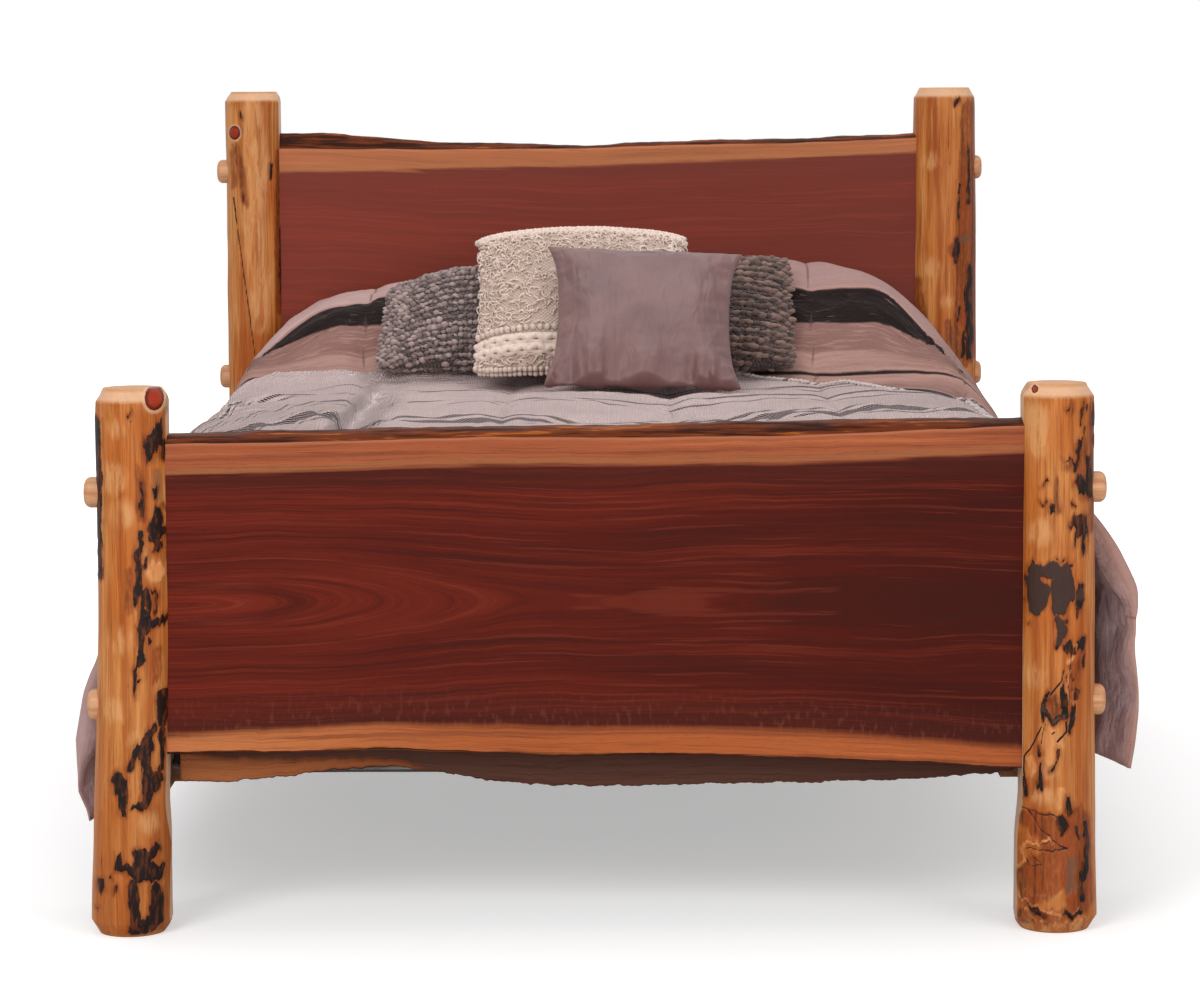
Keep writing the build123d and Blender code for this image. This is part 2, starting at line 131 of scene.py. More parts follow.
def on_line(line, run, places):
    """Points on a line of points at places that are measured along it."""
    return np.stack([np.interp(places, run, values) for values in line.T], axis=-1)


def new_object(name, points, faces, material, attributes=None):
    """A mesh object from points and faces, with float or vector attributes on its points."""
    mesh = bpy.data.meshes.new(name)
    points = np.asarray(points, float).reshape(-1, 3)
    mesh.from_pydata(points.tolist(), [], [list(map(int, face)) for face in faces])
    for key, values in (attributes or {}).items():
        values = np.asarray(values, float)
        is_vector = values.shape[-1:] == (3,) and values.size == points.size
        layer = mesh.attributes.new(key, "FLOAT_VECTOR" if is_vector else "FLOAT", "POINT")
        layer.data.foreach_set("vector" if is_vector else "value", values.ravel())
    mesh.polygons.foreach_set("use_smooth", [True] * len(mesh.polygons))
    mesh.materials.append(material)
    piece = bpy.data.objects.new(name, mesh)
    bpy.context.scene.collection.objects.link(piece)
    return piece


def tree_of(node):
    """A ray-casting tree of a CAD node."""
    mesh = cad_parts[node].data
    return BVHTree.FromPolygons([v.co for v in mesh.vertices], [p.vertices for p in mesh.polygons])


def edge_heights(tree, xs, y, start, direction):
    """Where upright rays at each x and one y meet the node, from start going up or down."""
    found = []
    for x in xs:
        hit = tree.ray_cast(Vector((x, y, start)), Vector((0, 0, direction)))[0]
        found.append(hit.z if hit else np.nan)
    found = np.array(found)
    good = ~np.isnan(found)
    return np.interp(xs, xs[good], found[good])


# ---------------------------------------------------------------- shaders

def linear(red, green, blue):
    """A shader colour from screen values of 0 to 255."""
    values = np.array([red, green, blue]) / 255
    values = np.where(values <= 0.04045, values / 12.92, ((values + 0.055) / 1.055) ** 2.4)
    return (*values.tolist(), 1.0)


class Shader:
    """A material with short ways to add nodes. Values may be numbers, colours or sockets."""

    def __init__(self, name):
        self.material = bpy.data.materials.new(name)
        self.material.use_nodes = True
        self.tree = self.material.node_tree
        self.surface = self.tree.nodes["Principled BSDF"]

    def put(self, socket, value):
        if isinstance(value, bpy.types.NodeSocket):
            self.tree.links.new(value, socket)
        else:
            socket.default_value = value

    def node(self, kind, output, inputs, **settings):
        made = self.tree.nodes.new(kind)
        for key, value in settings.items():
            setattr(made, key, value)
        for key, value in inputs.items():
            self.put(made.inputs[key], value)
        return made.outputs[output]

    def attribute(self, name, output="Fac"):
        return self.node("ShaderNodeAttribute", output, {}, attribute_name=name)

    def place(self):
        return self.node("ShaderNodeTexCoord", "Object", {})

    def stretch(self, vector, scale, turn=(0, 0, 0)):
        return self.node("ShaderNodeMapping", "Vector",
                         {"Vector": vector, "Scale": scale, "Rotation": turn})

    def math(self, operation, a, b=None):
        inputs = {0: a} if b is None else {0: a, 1: b}
        return self.node("ShaderNodeMath", 0, inputs, operation=operation)

    def add(self, a, b):
        return self.math("ADD", a, b)

    def times(self, a, b):
        return self.math("MULTIPLY", a, b)

    def wave(self, value, scale):
        return self.math("SINE", self.times(value, scale))

    def noise(self, vector, scale, detail, roughness=0.5, distortion=0.0):
        return self.node("ShaderNodeTexNoise", "Fac",
                         {"Vector": vector, "Scale": scale, "Detail": detail,
                          "Roughness": roughness, "Distortion": distortion})

    def grain(self, vector, scale, detail, roughness=0.5, distortion=0.0):
        """Noise with its own number of cells to the metre along each axis."""
        return self.noise(self.stretch(vector, scale), 1.0, detail, roughness, distortion)

    def streaks(self, x, y, scale, detail, roughness=0.5):
        """Noise over two lengths. scale is the cells to the metre along each, and an offset."""
        vector = self.join(self.times(x, scale[0]), self.times(y, scale[1]), scale[2])
        return self.noise(vector, 1.0, detail, roughness)

    def step(self, value, low, high, bottom=0.0, top=1.0):
        """A smooth step from bottom at low to top at high."""
        return self.node("ShaderNodeMapRange", 0,
                         {0: value, 1: low, 2: high, 3: bottom, 4: top},
                         interpolation_type="SMOOTHSTEP")

    def mix(self, share, a, b):
        made = self.tree.nodes.new("ShaderNodeMix")
        made.data_type = "RGBA"
        for key, value in ((0, share), (6, a), (7, b)):
            self.put(made.inputs[key], value)
        return made.outputs[2]

    def tints(self, colour, layers):
        """The colour under layers of (value, low, high, most, shade), stepping from low to high."""
        for value, low, high, most, shade in layers:
            colour = self.mix(self.step(value, low, high, 0.0, most), colour, linear(*shade))
        return colour

    def join(self, x, y, z=0.0):
        return self.node("ShaderNodeCombineXYZ", 0, {0: x, 1: y, 2: z})

    def split(self, vector):
        made = self.tree.nodes.new("ShaderNodeSeparateXYZ")
        self.put(made.inputs[0], vector)
        return made.outputs

    def finish(self, colour, roughness, height=None, relief=1.0, **sockets):
        """Set the surface. height is in metres times relief."""
        self.put(self.surface.inputs["Base Color"], colour)
        self.put(self.surface.inputs["Roughness"], roughness)
        for key, value in sockets.items():
            self.put(self.surface.inputs[key.replace("_", " ")], value)
        if height is not None:
            bump = self.node("ShaderNodeBump", 0, {"Height": height, "Distance": relief})
            self.put(self.surface.inputs["Normal"], bump)
        return self.material


def post_wood():
    """Peeled, sealed log: honey sapwood with streaks, dark cambium patches, rust and stains.

    Painted shade lies down the right head post's sides, and painted highlights on the head posts'
    fronts.
    """
    s = Shader("peeled_log")
    place = s.place()
    long_streaks = s.grain(place, (26, 26, 1.1), 4, 0.6, 0.4)
    streaks = s.grain(place, (75, 75, 2.4), 4, 0.62, 0.5)
    fine_streaks = s.grain(place, (190, 190, 5), 4, 0.65)
    hair = s.grain(place, (430, 430, 14), 3, 0.7)
    broken = s.grain(place, (60, 60, 9), 4, 0.65, 0.6)
    clouds = s.grain(place, (9, 9, 4), 2)
    colour = s.mix(s.step(clouds, 0.35, 0.65), linear(184, 102, 40), linear(204, 134, 72))
    colour = s.tints(colour, (
        (long_streaks, 0.48, 0.64, 0.8, (160, 78, 24)),
        (long_streaks, 0.46, 0.34, 0.45, (216, 152, 88)),
        (streaks, 0.53, 0.64, 0.5, (146, 70, 22)),
        (streaks, 0.44, 0.34, 0.3, (222, 166, 104)),
        (fine_streaks, 0.52, 0.66, 0.5, (118, 58, 20)),
        (hair, 0.50, 0.68, 0.4, (112, 56, 20)),
        (s.split(place)[2], 0.6, 0.1, 0.4, (160, 84, 30)),
    ))

    def patchy(name, low, high, least):
        return s.times(s.attribute(name), s.step(broken, low, high, least, 1.0))

    # Pale patches; on the head posts these are painted highlights
    colour = s.mix(patchy("pale", 0.38, 0.6, 0.1), colour, linear(214, 158, 104))
    colour = s.mix(s.times(s.attribute("facet"), 0.9), colour, linear(224, 184, 150))
    specks = s.grain(place, (260, 260, 60), 3, 0.6)
    # Rust marks; down the right head post's sides the broad strokes are also painted shade
    rust = s.times(s.attribute("rust"), s.step(specks, 0.3, 0.6, 0.55, 1.0))
    rust_and_shade_brown = s.mix(s.step(streaks, 0.46, 0.6), linear(132, 52, 16), linear(66, 26, 10))
    colour = s.mix(rust, colour, rust_and_shade_brown)
    colour = s.mix(patchy("ridge", 0.36, 0.6, 0.4), colour, linear(214, 142, 84))
    colour = s.mix(patchy("stain", 0.3, 0.6, 0.5), colour, linear(98, 76, 62))
    ragged = s.times(s.add(s.grain(place, (230, 230, 48), 4, 0.7), -0.5), 11.0)
    dark_depth = s.add(s.attribute("dark"), ragged)
    dark = s.step(dark_depth, -0.45, 0.45)
    halo = s.times(s.step(dark_depth, -9.0, -0.2), s.step(broken, 0.36, 0.62, 0.2, 0.85))
    colour = s.mix(halo, colour, linear(124, 54, 15))
    mottle = s.grain(place, (110, 110, 34), 4, 0.65)
    bark = s.mix(s.step(mottle, 0.47, 0.68), linear(24, 11, 7), linear(96, 44, 17))
    bark = s.mix(s.times(s.attribute("grey"), 0.85), bark, linear(62, 42, 36))
    colour = s.mix(dark, colour, bark)
    line = s.add(s.attribute("line"), s.times(ragged, 0.15))
    colour = s.tints(colour, ((line, -0.4, 0.4, 1.0, (36, 16, 9)),))
    rings = s.node("ShaderNodeTexWave", "Fac",
                   {"Vector": s.attribute("end_grain", "Vector"), "Scale": 38.0,
                    "Distortion": 1.5, "Detail": 2.0, "Detail Scale": 2.0},
                   wave_type="RINGS", rings_direction="Z")
    ends = s.mix(s.times(rings, 0.5), linear(206, 148, 92), linear(160, 94, 46))
    colour = s.mix(s.attribute("cap"), colour, ends)
    knot = s.add(s.attribute("knot"), s.times(ragged, 0.012))
    colour = s.tints(colour, (
        (knot, 0.08, 0.42, 0.55, (226, 178, 138)),
        (knot, 0.46, 0.56, 1.0, (88, 22, 8)),
        (knot, 0.66, 0.92, 1.0, (150, 44, 14)),
    ))
    height = s.add(s.times(fine_streaks, 0.6), s.times(dark, 1.2))
    return s.finish(colour, 0.45, height, 0.0010, Coat_Weight=0.06, Coat_Roughness=0.25,
                    Specular_IOR_Level=0.16)


def slab_wood():
    """Live-edge slab: red heartwood, orange sapwood along both edges, long tongues and streaks."""
    s = Shader("slab_wood")
    along, height_up, _ = s.split(s.attribute("grain", "Vector"))
    sway = s.add(s.streaks(along, height_up, (2.1, 4.0, 0.0), 2), -0.5)
    swayed = s.add(height_up, s.times(sway, 0.045))
    # Lines near the middle close into long tongues that point to the right from the left end
    from_middle = s.add(swayed, -0.27)
    aside = s.step(along, -0.80, -0.05, 0.0, 0.075)
    rings = s.math("SQRT", s.add(s.times(from_middle, from_middle), s.times(aside, aside)))
    broad = s.streaks(along, rings, (0.9, 13.0, 3.0), 3)
    streak = s.streaks(along, rings, (1.1, 85.0, 7.0), 4, 0.62)
    hair = s.streaks(along, rings, (2.6, 190.0, 9.0), 3, 0.6)
    fine = s.streaks(along, rings, (5.0, 330.0, 1.0), 4, 0.65)
    pores = s.streaks(along, swayed, (42.0, 1000.0, 5.0), 1)
    right = s.step(along, -0.7, 0.75)
    heart = s.mix(right, linear(106, 32, 18), linear(72, 17, 7))
    deep = s.mix(right, linear(84, 24, 14), linear(57, 13, 6))
    heart = s.mix(s.step(broad, 0.42, 0.62, 0.0, 0.7), heart, deep)
    heart = s.tints(heart, (
        (broad, 0.44, 0.3, 0.25, (124, 42, 22)),
        (streak, 0.51, 0.64, 0.5, (54, 18, 12)),
        (streak, 0.45, 0.34, 0.2, (134, 54, 34)),
        (hair, 0.52, 0.64, 0.4, (58, 20, 13)),
        (hair, 0.45, 0.36, 0.25, (138, 58, 40)),
    ))
    top_sap, low_sap = s.attribute("sap_top"), s.attribute("sap_low")
    near_low = s.step(low_sap, -0.085, -0.01)
    near_edge = s.math("MAXIMUM", near_low, s.step(top_sap, -0.06, -0.004))
    heart = s.mix(s.times(near_edge, 0.6), heart, linear(66, 27, 20))
    curl = s.noise(s.stretch(s.join(along, height_up), (120, 46, 1), (0, 0, 0.35)), 1.0, 1)
    curly = s.times(near_low, s.step(curl, 0.52, 0.74, 0.0, 0.16))
    heart = s.mix(curly, heart, linear(150, 88, 70))
    stripes = s.streaks(along, height_up, (1.6, 95.0, 11.0), 4, 0.6)
    low_shade = s.mix(s.step(along, -0.75, -0.1), linear(186, 112, 66), linear(168, 88, 46))
    sap = s.mix(s.step(low_sap, -0.02, 0.0), linear(158, 84, 53), low_shade)
    sap = s.tints(sap, (
        (stripes, 0.50, 0.64, 0.7, (126, 66, 42)),
        (stripes, 0.44, 0.32, 0.5, (190, 112, 66)),
    ))
    wobble = s.times(s.add(stripes, -0.5), 0.03)
    in_top = s.step(s.add(top_sap, wobble), -0.005, 0.005)
    in_low = s.step(s.add(low_sap, wobble), -0.012, 0.010)
    in_sap = s.math("MAXIMUM", in_top, in_low)
    colour = s.mix(in_sap, heart, sap)
    border = s.times(s.step(top_sap, -0.001, 0.005), s.step(top_sap, 0.018, 0.008))
    border = s.times(border, s.step(stripes, 0.4, 0.6, 0.3, 0.8))
    colour = s.mix(border, colour, linear(150, 96, 60))
    colour = s.tints(colour, (
        (fine, 0.5, 0.74, 0.5, (50, 18, 12)),
        (pores, 0.62, 0.75, 0.4, (40, 14, 12)),
    ))
    # Painted shadow: where the shade attribute is set, the heartwood turns to this grey
    shaded = s.times(s.attribute("shade"), s.step(broad, 0.3, 0.6, 0.8, 1.0))
    painted_shadow_grey = s.mix(s.step(fine, 0.45, 0.7), linear(92, 66, 56), linear(64, 44, 38))
    colour = s.mix(shaded, colour, painted_shadow_grey)
    bark_streaks = s.grain(s.place(), (5, 90, 90), 4, 0.62, 0.3)
    bark = s.mix(s.step(bark_streaks, 0.42, 0.54), linear(48, 19, 8), linear(98, 43, 16))
    bark = s.tints(bark, ((bark_streaks, 0.58, 0.66, 1.0, (158, 84, 33)),))
    # Painted light turns the headboard towards these paler colours; painted shade darkens the lower
    # board below
    painted_light_and_shade = s.attribute("painted_light_and_shade")
    paler = s.mix(in_sap, linear(214, 112, 96), linear(255, 176, 122))
    colour = s.mix(s.step(painted_light_and_shade, 0.0, 1.0, 0.0, 0.45), colour, paler)
    colour = s.mix(s.attribute("wane"), colour, bark)
    colour = s.tints(colour, ((painted_light_and_shade, 0.0, -1.0, 0.75, (72, 34, 16)),))
    # Painted highlight: a pale line along the front's top edge
    colour = s.mix(s.times(s.attribute("arris"), 0.4), colour, linear(190, 128, 96))
    height = s.add(s.times(fine, 0.5), s.times(pores, -0.6))
    return s.finish(colour, 0.52, height, 0.0003, Specular_IOR_Level=0.08)


def board_wood(name, axis, light, dark):
    """Plain planed wood with its grain along one axis, 0 for X, 1 for Y or 2 for Z."""
    s = Shader(name)
    scale = [70, 70, 70]
    scale[axis] = 2.2
    grain = s.grain(s.place(), scale, 4, 0.6, 0.5)
    fine = s.grain(s.place(), [value * 6 for value in scale], 2)
    clouds = s.noise(s.place(), 4.0, 2)
    colour = s.mix(s.step(grain, 0.4, 0.66), linear(*light), linear(*dark))
    colour = s.tints(colour, (
        (clouds, 0.4, 0.7, 0.3, dark),
        (fine, 0.55, 0.8, 0.35, (70, 38, 18)),
    ))
    return s.finish(colour, 0.5, s.add(grain, s.times(fine, 0.6)), 0.0004, Coat_Weight=0.1)


def steel():
    """Zinc-plated steel, brushed and a little dull."""
    s = Shader("zinc_steel")
    brushed = s.grain(s.place(), (900, 900, 30), 2)
    blotches = s.noise(s.place(), 60.0, 2)
    colour = s.mix(s.step(blotches, 0.35, 0.7), linear(170, 172, 176), linear(132, 134, 138))
    return s.finish(colour, s.step(brushed, 0.2, 0.8, 0.32, 0.5), brushed, 0.0001, Metallic=1.0)


def bands(s, value, edges, soft):
    """1 inside any of the value's bands and 0 between them."""
    total = None
    for low, high in edges:
        band = s.times(s.step(value, low - soft, low + soft),
                       s.step(value, high + soft, high - soft))
        total = band if total is None else s.math("MAXIMUM", total, band)
    return total


def comforter_cloth():
    """Printed cotton in weathered bands of beige, mauve and dark brown, with a plain lining.

    The lining is painted pale, as painted light on its shaded inside faces.
    """
    s = Shader("comforter_cotton")
    across, print_line, bend = s.split(s.attribute("cloth", "Vector"))
    wobble = s.times(s.add(s.streaks(across, print_line, (3.0, 1.0, 0.0), 3), -0.5), 0.012)
    shifted = s.add(print_line, wobble)
    streak = s.streaks(across, shifted, (1.8, 42.0, 0.0), 4, 0.62)
    fine = s.streaks(across, shifted, (7.0, 260.0, 0.0), 4, 0.65)
    worn = s.streaks(across, shifted, (14.0, 120.0, 4.0), 4, 0.65)
    colour = s.mix(s.step(streak, 0.42, 0.66), linear(176, 138, 128), linear(158, 119, 110))
    in_mauve = s.times(s.step(s.add(shifted, s.times(streak, 0.05)), 0.105, 0.125),
                       s.step(shifted, 0.27, 0.25))
    in_mauve = s.math("MAXIMUM", in_mauve, bands(s, shifted, MAUVE_BANDS, 0.012))
    in_mauve = s.times(in_mauve, s.step(worn, 0.62, 0.50, 0.35, 1.0))
    colour = s.mix(in_mauve, colour, linear(138, 101, 93))
    colour = s.tints(colour, ((fine, 0.54, 0.72, 0.4, (120, 86, 80)),))
    ink = s.mix(s.step(worn, 0.60, 0.70, 0.0, 0.75), linear(26, 13, 12), linear(126, 98, 96))
    lower_edge = s.add(shifted, s.times(bend, -0.34))
    upper_edge = s.add(shifted, s.step(across, -0.45, 0.35, -0.028, -0.034))
    top_band = s.times(s.step(upper_edge, 0.256, 0.249), s.step(lower_edge, 0.180, 0.187))
    in_dark = s.math("MAXIMUM", top_band, bands(s, shifted, DARK_BANDS, 0.004))
    colour = s.mix(in_dark, colour, ink)
    border = s.mix(s.step(fine, 0.4, 0.7, 0.0, 0.35), linear(168, 134, 129), linear(142, 107, 103))
    border = s.tints(border, ((across, -0.2, -0.5, 0.6, (204, 172, 168)),))
    colour = s.mix(s.step(upper_edge, 0.258, 0.266), colour, border)
    colour = s.tints(colour, (
        (across, -0.95, -1.15, 0.6, (182, 154, 156)),
        (s.attribute("seam"), 0.0050, 0.0006, 0.6, (84, 58, 56)),
    ))
    crumple = s.streaks(across, print_line, (20.0, 26.0, 0.0), 4, 0.6)
    # The lining's pale colours are painted light for its shaded inside faces
    lining = s.mix(s.step(crumple, 0.35, 0.7), linear(228, 200, 204), linear(194, 166, 172))
    colour = s.mix(s.attribute("inside"), colour, lining)
    return s.finish(colour, 0.8, s.add(crumple, s.times(worn, 0.3)), 0.010, Sheen_Weight=0.05,
                    Sheen_Roughness=0.5, Specular_IOR_Level=0.15)


# Middles and half widths of the throw's dark lines, along it
THROW_STRIPES = ((-0.940, 0.006), (-0.898, 0.018), (-0.858, 0.006), (-0.50, 0.003),
                 (-0.47, 0.004), (-0.215, 0.003), (-0.195, 0.005), (-0.05, 0.002))
RIB_WAVES = 900.0
PICK_WAVES = 1150.0


def throw_cloth():
    """Loose pale dobby weave with groups of dark dashed stripes."""
    s = Shader("throw_weave")
    across, along, _ = s.split(s.attribute("cloth", "Vector"))
    ribs = s.wave(along, RIB_WAVES)
    zigzag = s.times(s.wave(along, RIB_WAVES / 2), 1.2)
    picks = s.math("SINE", s.add(s.times(across, PICK_WAVES), zigzag))
    weave = s.times(s.add(ribs, 1.2), s.add(picks, 1.0))
    slub = s.streaks(across, along, (90.0, 330.0, 0.0), 3, 0.6)
    clouds = s.streaks(across, along, (5.0, 9.0, 0.0), 3)
    colour = s.mix(s.step(weave, 0.3, 2.4), linear(207, 181, 179), linear(241, 219, 216))
    colour = s.tints(colour, (
        (slub, 0.5, 0.7, 0.5, (232, 219, 214)),
        (clouds, 0.42, 0.62, 0.3, (198, 180, 178)),
    ))
    edges = [(middle - half, middle + half) for middle, half in THROW_STRIPES]
    dashes = s.math("SINE", s.add(s.times(across, PICK_WAVES), s.times(along, RIB_WAVES)))
    dashed = s.times(bands(s, along, edges, 0.0012), s.step(dashes, -1.1, -0.1))
    gaps = s.step(s.streaks(across, along, (2.0, 16.0, 0.0), 2), 0.28, 0.36)
    colour = s.mix(s.times(dashed, gaps), colour, linear(46, 34, 40))
    height = s.add(weave, s.times(slub, 1.5))
    return s.finish(colour, 0.95, height, 0.0010, Sheen_Weight=0.08, Sheen_Roughness=0.6,
                    Specular_IOR_Level=0.15)


def yarn(name, first, second, fibre_scale):
    """Spun yarn from a first colour to a second one, by each strand's own shade."""
    s = Shader(name)
    fibres = s.noise(s.place(), fibre_scale, 3, 0.6)
    colour = s.mix(s.attribute("shade"), linear(*first), linear(*second))
    colour = s.tints(colour, ((fibres, 0.45, 0.75, 0.35, first),))
    return s.finish(colour, 0.9, fibres, 0.0012, Sheen_Weight=0.3, Sheen_Roughness=0.5)


def satin():
    """Plain grey satin with soft broad creases."""
    s = Shader("grey_satin")
    panel = s.attribute("panel", "Vector")
    clouds = s.noise(panel, 1.6, 2)
    thread = s.grain(panel, (40, 420, 1), 2)
    crease = s.noise(s.stretch(panel, (7, 2.2, 1), (0, 0, 0.4)), 1.0, 3, 0.5, 0.6)
    colour = s.mix(s.step(clouds, 0.35, 0.68), linear(116, 82, 80), linear(102, 70, 69))
    colour = s.tints(colour, ((thread, 0.5, 0.8, 0.15, (150, 122, 119)),))
    height = s.add(crease, s.times(thread, 0.03))
    return s.finish(colour, 0.46, height, 0.006, Sheen_Weight=0.1, Sheen_Roughness=0.35)


def knit_ground(name, dark, light):
    """Plain knitted ground under bobbles or shag."""
    s = Shader(name)
    panel = s.attribute("panel", "Vector")
    x, y, _ = s.split(panel)
    knit = s.times(s.wave(x, 150.0), s.wave(y, 150.0))
    fuzz = s.noise(panel, 60.0, 3)
    colour = s.mix(s.step(knit, -0.5, 0.6), linear(*dark), linear(*light))
    colour = s.tints(colour, ((fuzz, 0.4, 0.7, 0.4, dark),))
    return s.finish(colour, 0.95, knit, 0.002, Sheen_Weight=0.3)


def plain_cloth(name, light, dark, weave, relief):
    """Plain woven cloth with a quiet mottle."""
    s = Shader(name)
    place = s.place()
    x, y, z = s.split(place)
    threads = s.times(s.wave(s.add(x, z), weave), s.wave(s.add(y, z), weave))
    mottle = s.noise(place, 14.0, 3)
    colour = s.mix(s.step(mottle, 0.35, 0.7), linear(*light), linear(*dark))
    colour = s.tints(colour, ((threads, 0.0, 0.9, 0.3, dark),))
    return s.finish(colour, 0.85, threads, relief, Sheen_Weight=0.15)


def make_materials():
    """Every material by its short name."""
    return {
        "post_log": post_wood(),
        "slab_wood": slab_wood(),
        "peg_wood": board_wood("peg_wood", 0, (206, 152, 108), (182, 120, 76)),
        "rail_along": board_wood("rail_wood_along", 1, (150, 96, 54), (118, 70, 36)),
        "rail_across": board_wood("rail_wood_across", 0, (168, 116, 70), (136, 88, 50)),
        "steel": steel(),
        "comforter": comforter_cloth(),
        "throw": throw_cloth(),
        "fringe": yarn("fringe_cotton", (212, 196, 192), (120, 100, 100), 900.0),
        "satin": satin(),
        "grey_yarn": yarn("grey_bobble_yarn", (84, 65, 64), (188, 163, 158), 500.0),
        "brown_yarn": yarn("brown_grey_yarn", (56, 39, 36), (150, 117, 106), 500.0),
        "cream_yarn": yarn("cream_yarn", (212, 184, 168), (238, 219, 206), 600.0),
        # The grey and brown knit grounds are darkened as painted shade between the bobbles
        "grey_ground": knit_ground("grey_knit", (62, 48, 47), (92, 74, 72)),
        "brown_ground": knit_ground("brown_knit", (64, 46, 44), (98, 76, 72)),
        "cream_ground": knit_ground("cream_knit", (196, 168, 152), (220, 196, 181)),
        "ticking": plain_cloth("mattress_ticking", (214, 208, 200), (194, 188, 180), 900.0, 0.0006),
        "spring_cloth": plain_cloth("box_spring_cloth", (64, 52, 52), (46, 38, 40), 900.0, 0.0006),
        "tape": plain_cloth("tape_edge", (150, 142, 136), (120, 112, 108), 1600.0, 0.0004),
        "cotton": plain_cloth("pillow_cotton", (216, 208, 202), (198, 190, 184), 1200.0, 0.0003),
    }


# ---------------------------------------------------------------- posts

# Marks as seen from the foot of the bed. Strokes run through points given as mm right of the post's
# axis, mm above the floor and radius. Knots are single, and also give how far they stand out.
LEFT_FOOT = {
    "dark": [
        [(44, 896, 5), (42, 880, 9), (40, 865, 12)],
        [(27, 875, 5), (25, 860, 8), (26, 840, 7), (24, 833, 3)], [(35, 858, 10), (33, 846, 5)],
        [(50, 865, 4), (51, 850, 3), (50, 833, 2)], [(36, 784, 4), (35, 770, 3)],
        [(12, 795, 2), (11, 779, 1.5), (12, 768, 2.5), (13, 752, 4.5), (12, 737, 3)],
        [(39, 749, 5), (39, 733, 9), (32, 714, 11), (42, 707, 12), (31, 694, 8), (40, 685, 6),
         (29, 672, 2)],
        [(61, 715, 2), (55, 698, 5), (60, 682, 2), (60, 656, 1.5)],
        [(9, 709, 4), (8, 686, 3.5), (5, 670, 5.5), (7, 653, 5.5), (5, 631, 3.5), (3, 615, 5.5),
         (4, 602, 7), (0, 592, 5), (-2, 581, 2)],
        [(18, 664, 2.5), (16, 648, 2)],
        [(16, 602, 6.5), (18, 586, 9), (15, 567, 7), (16, 543, 11), (7, 538, 7), (8, 519, 4.5),
         (7, 496, 3)],
        [(24, 609, 2), (34, 602, 2), (35, 583, 2), (31, 567, 2)],
        [(32, 551, 8), (47, 552, 7), (56, 559, 2.5)], [(23, 522, 3), (20, 514, 1.5)],
        [(8, 504, 3), (8, 487, 6), (0, 473, 3), (-1, 455, 4), (-3, 442, 4.5), (-4, 420, 2)],
        [(6, 450, 2.5)], [(47, 423, 10), (48, 405, 10.5), (47, 381, 10.5)],
        [(32, 365, 7), (24, 353, 8), (15, 337, 9.5), (2, 321, 8), (-8, 300, 6.5)],
        [(47, 365, 5.5), (45, 349, 5), (47, 334, 4), (47, 310, 3.5), (45, 295, 6)],
        [(23, 342, 8), (20, 318, 8), (20, 302, 7), (24, 278, 11), (39, 279, 9.5), (47, 274, 3)],
        [(-27, 281, 9), (-36, 274, 3), (-27, 259, 7)],
        [(-23, 276, 11), (-19, 254, 8), (-17, 233, 5.5), (-17, 214, 2.5)],
        [(30, 267, 14.5), (22, 249, 9), (17, 233, 8), (1, 231, 4.5), (-5, 227, 2)],
        [(6, 151, 7), (19, 142, 14.5), (39, 153, 8), (39, 163, 3)],
        [(-25, 145, 3.5), (-25, 123, 4.5), (-12, 125, 5.5), (-3, 120, 9)],
        [(15, 120, 20), (37, 113, 16), (53, 127, 3.5)],
        [(2, 94, 8), (3, 67, 8), (4, 40, 10), (2, 13, 10)],
        [(39, 85, 10), (44, 58, 12), (37, 31, 16), (22, 16, 11)], [(19, 25, 12)],
        [(-55, 94, 5.5), (-54, 82, 5.5)], [(-61, 49, 1)], [(-38, 106, 2.5)],
        [(-30, 93, 2), (-30, 80, 2)], [(-61, 902, 5), (-62, 860, 7), (-61, 814, 5)],
        [(-60, 809, 5), (-61, 700, 4), (-60, 630, 3)], [(-7, 914, 2)],
    ],
    "light": [
        [(17, 578, 2.5)], [(36, 322, 6), (37, 305, 7), (34, 292, 3)],
        [(18, 88, 7), (20, 65, 9), (25, 43, 4)],
    ],
    "line": [[(-54, 105, 0.8), (-54, 165, 0.5)], [(-2, 901, 0.8), (-6, 899, 0.8)]],
    "rust": [
        [(5, 820, 4), (12, 790, 8), (12, 735, 8)], [(53, 752, 7)], [(-11, 640, 5), (-12, 570, 5)],
        [(35, 500, 10), (33, 450, 8)], [(38, 905, 4), (37, 925, 6)],
    ],
    "stain": [[(59, 913, 5), (62, 939, 2)], [(39, 816, 6), (39, 768, 6)]],
    "pale": [
        [(-27, 887, 14)], [(-35, 800, 22)], [(-25, 740, 20)], [(53, 776, 7)], [(35, 640, 15)],
        [(26, 935, 14)], [(10, 700, 4), (20, 640, 8)], [(0, 350, 9)], [(-35, 400, 18)],
        [(-30, 520, 20)], [(30, 200, 14)],
    ],
    "knots": [(37, 939, 17, 2.5)],
    "raised": [[(35, 640, 16)], [(17, 560, 3)]],
}
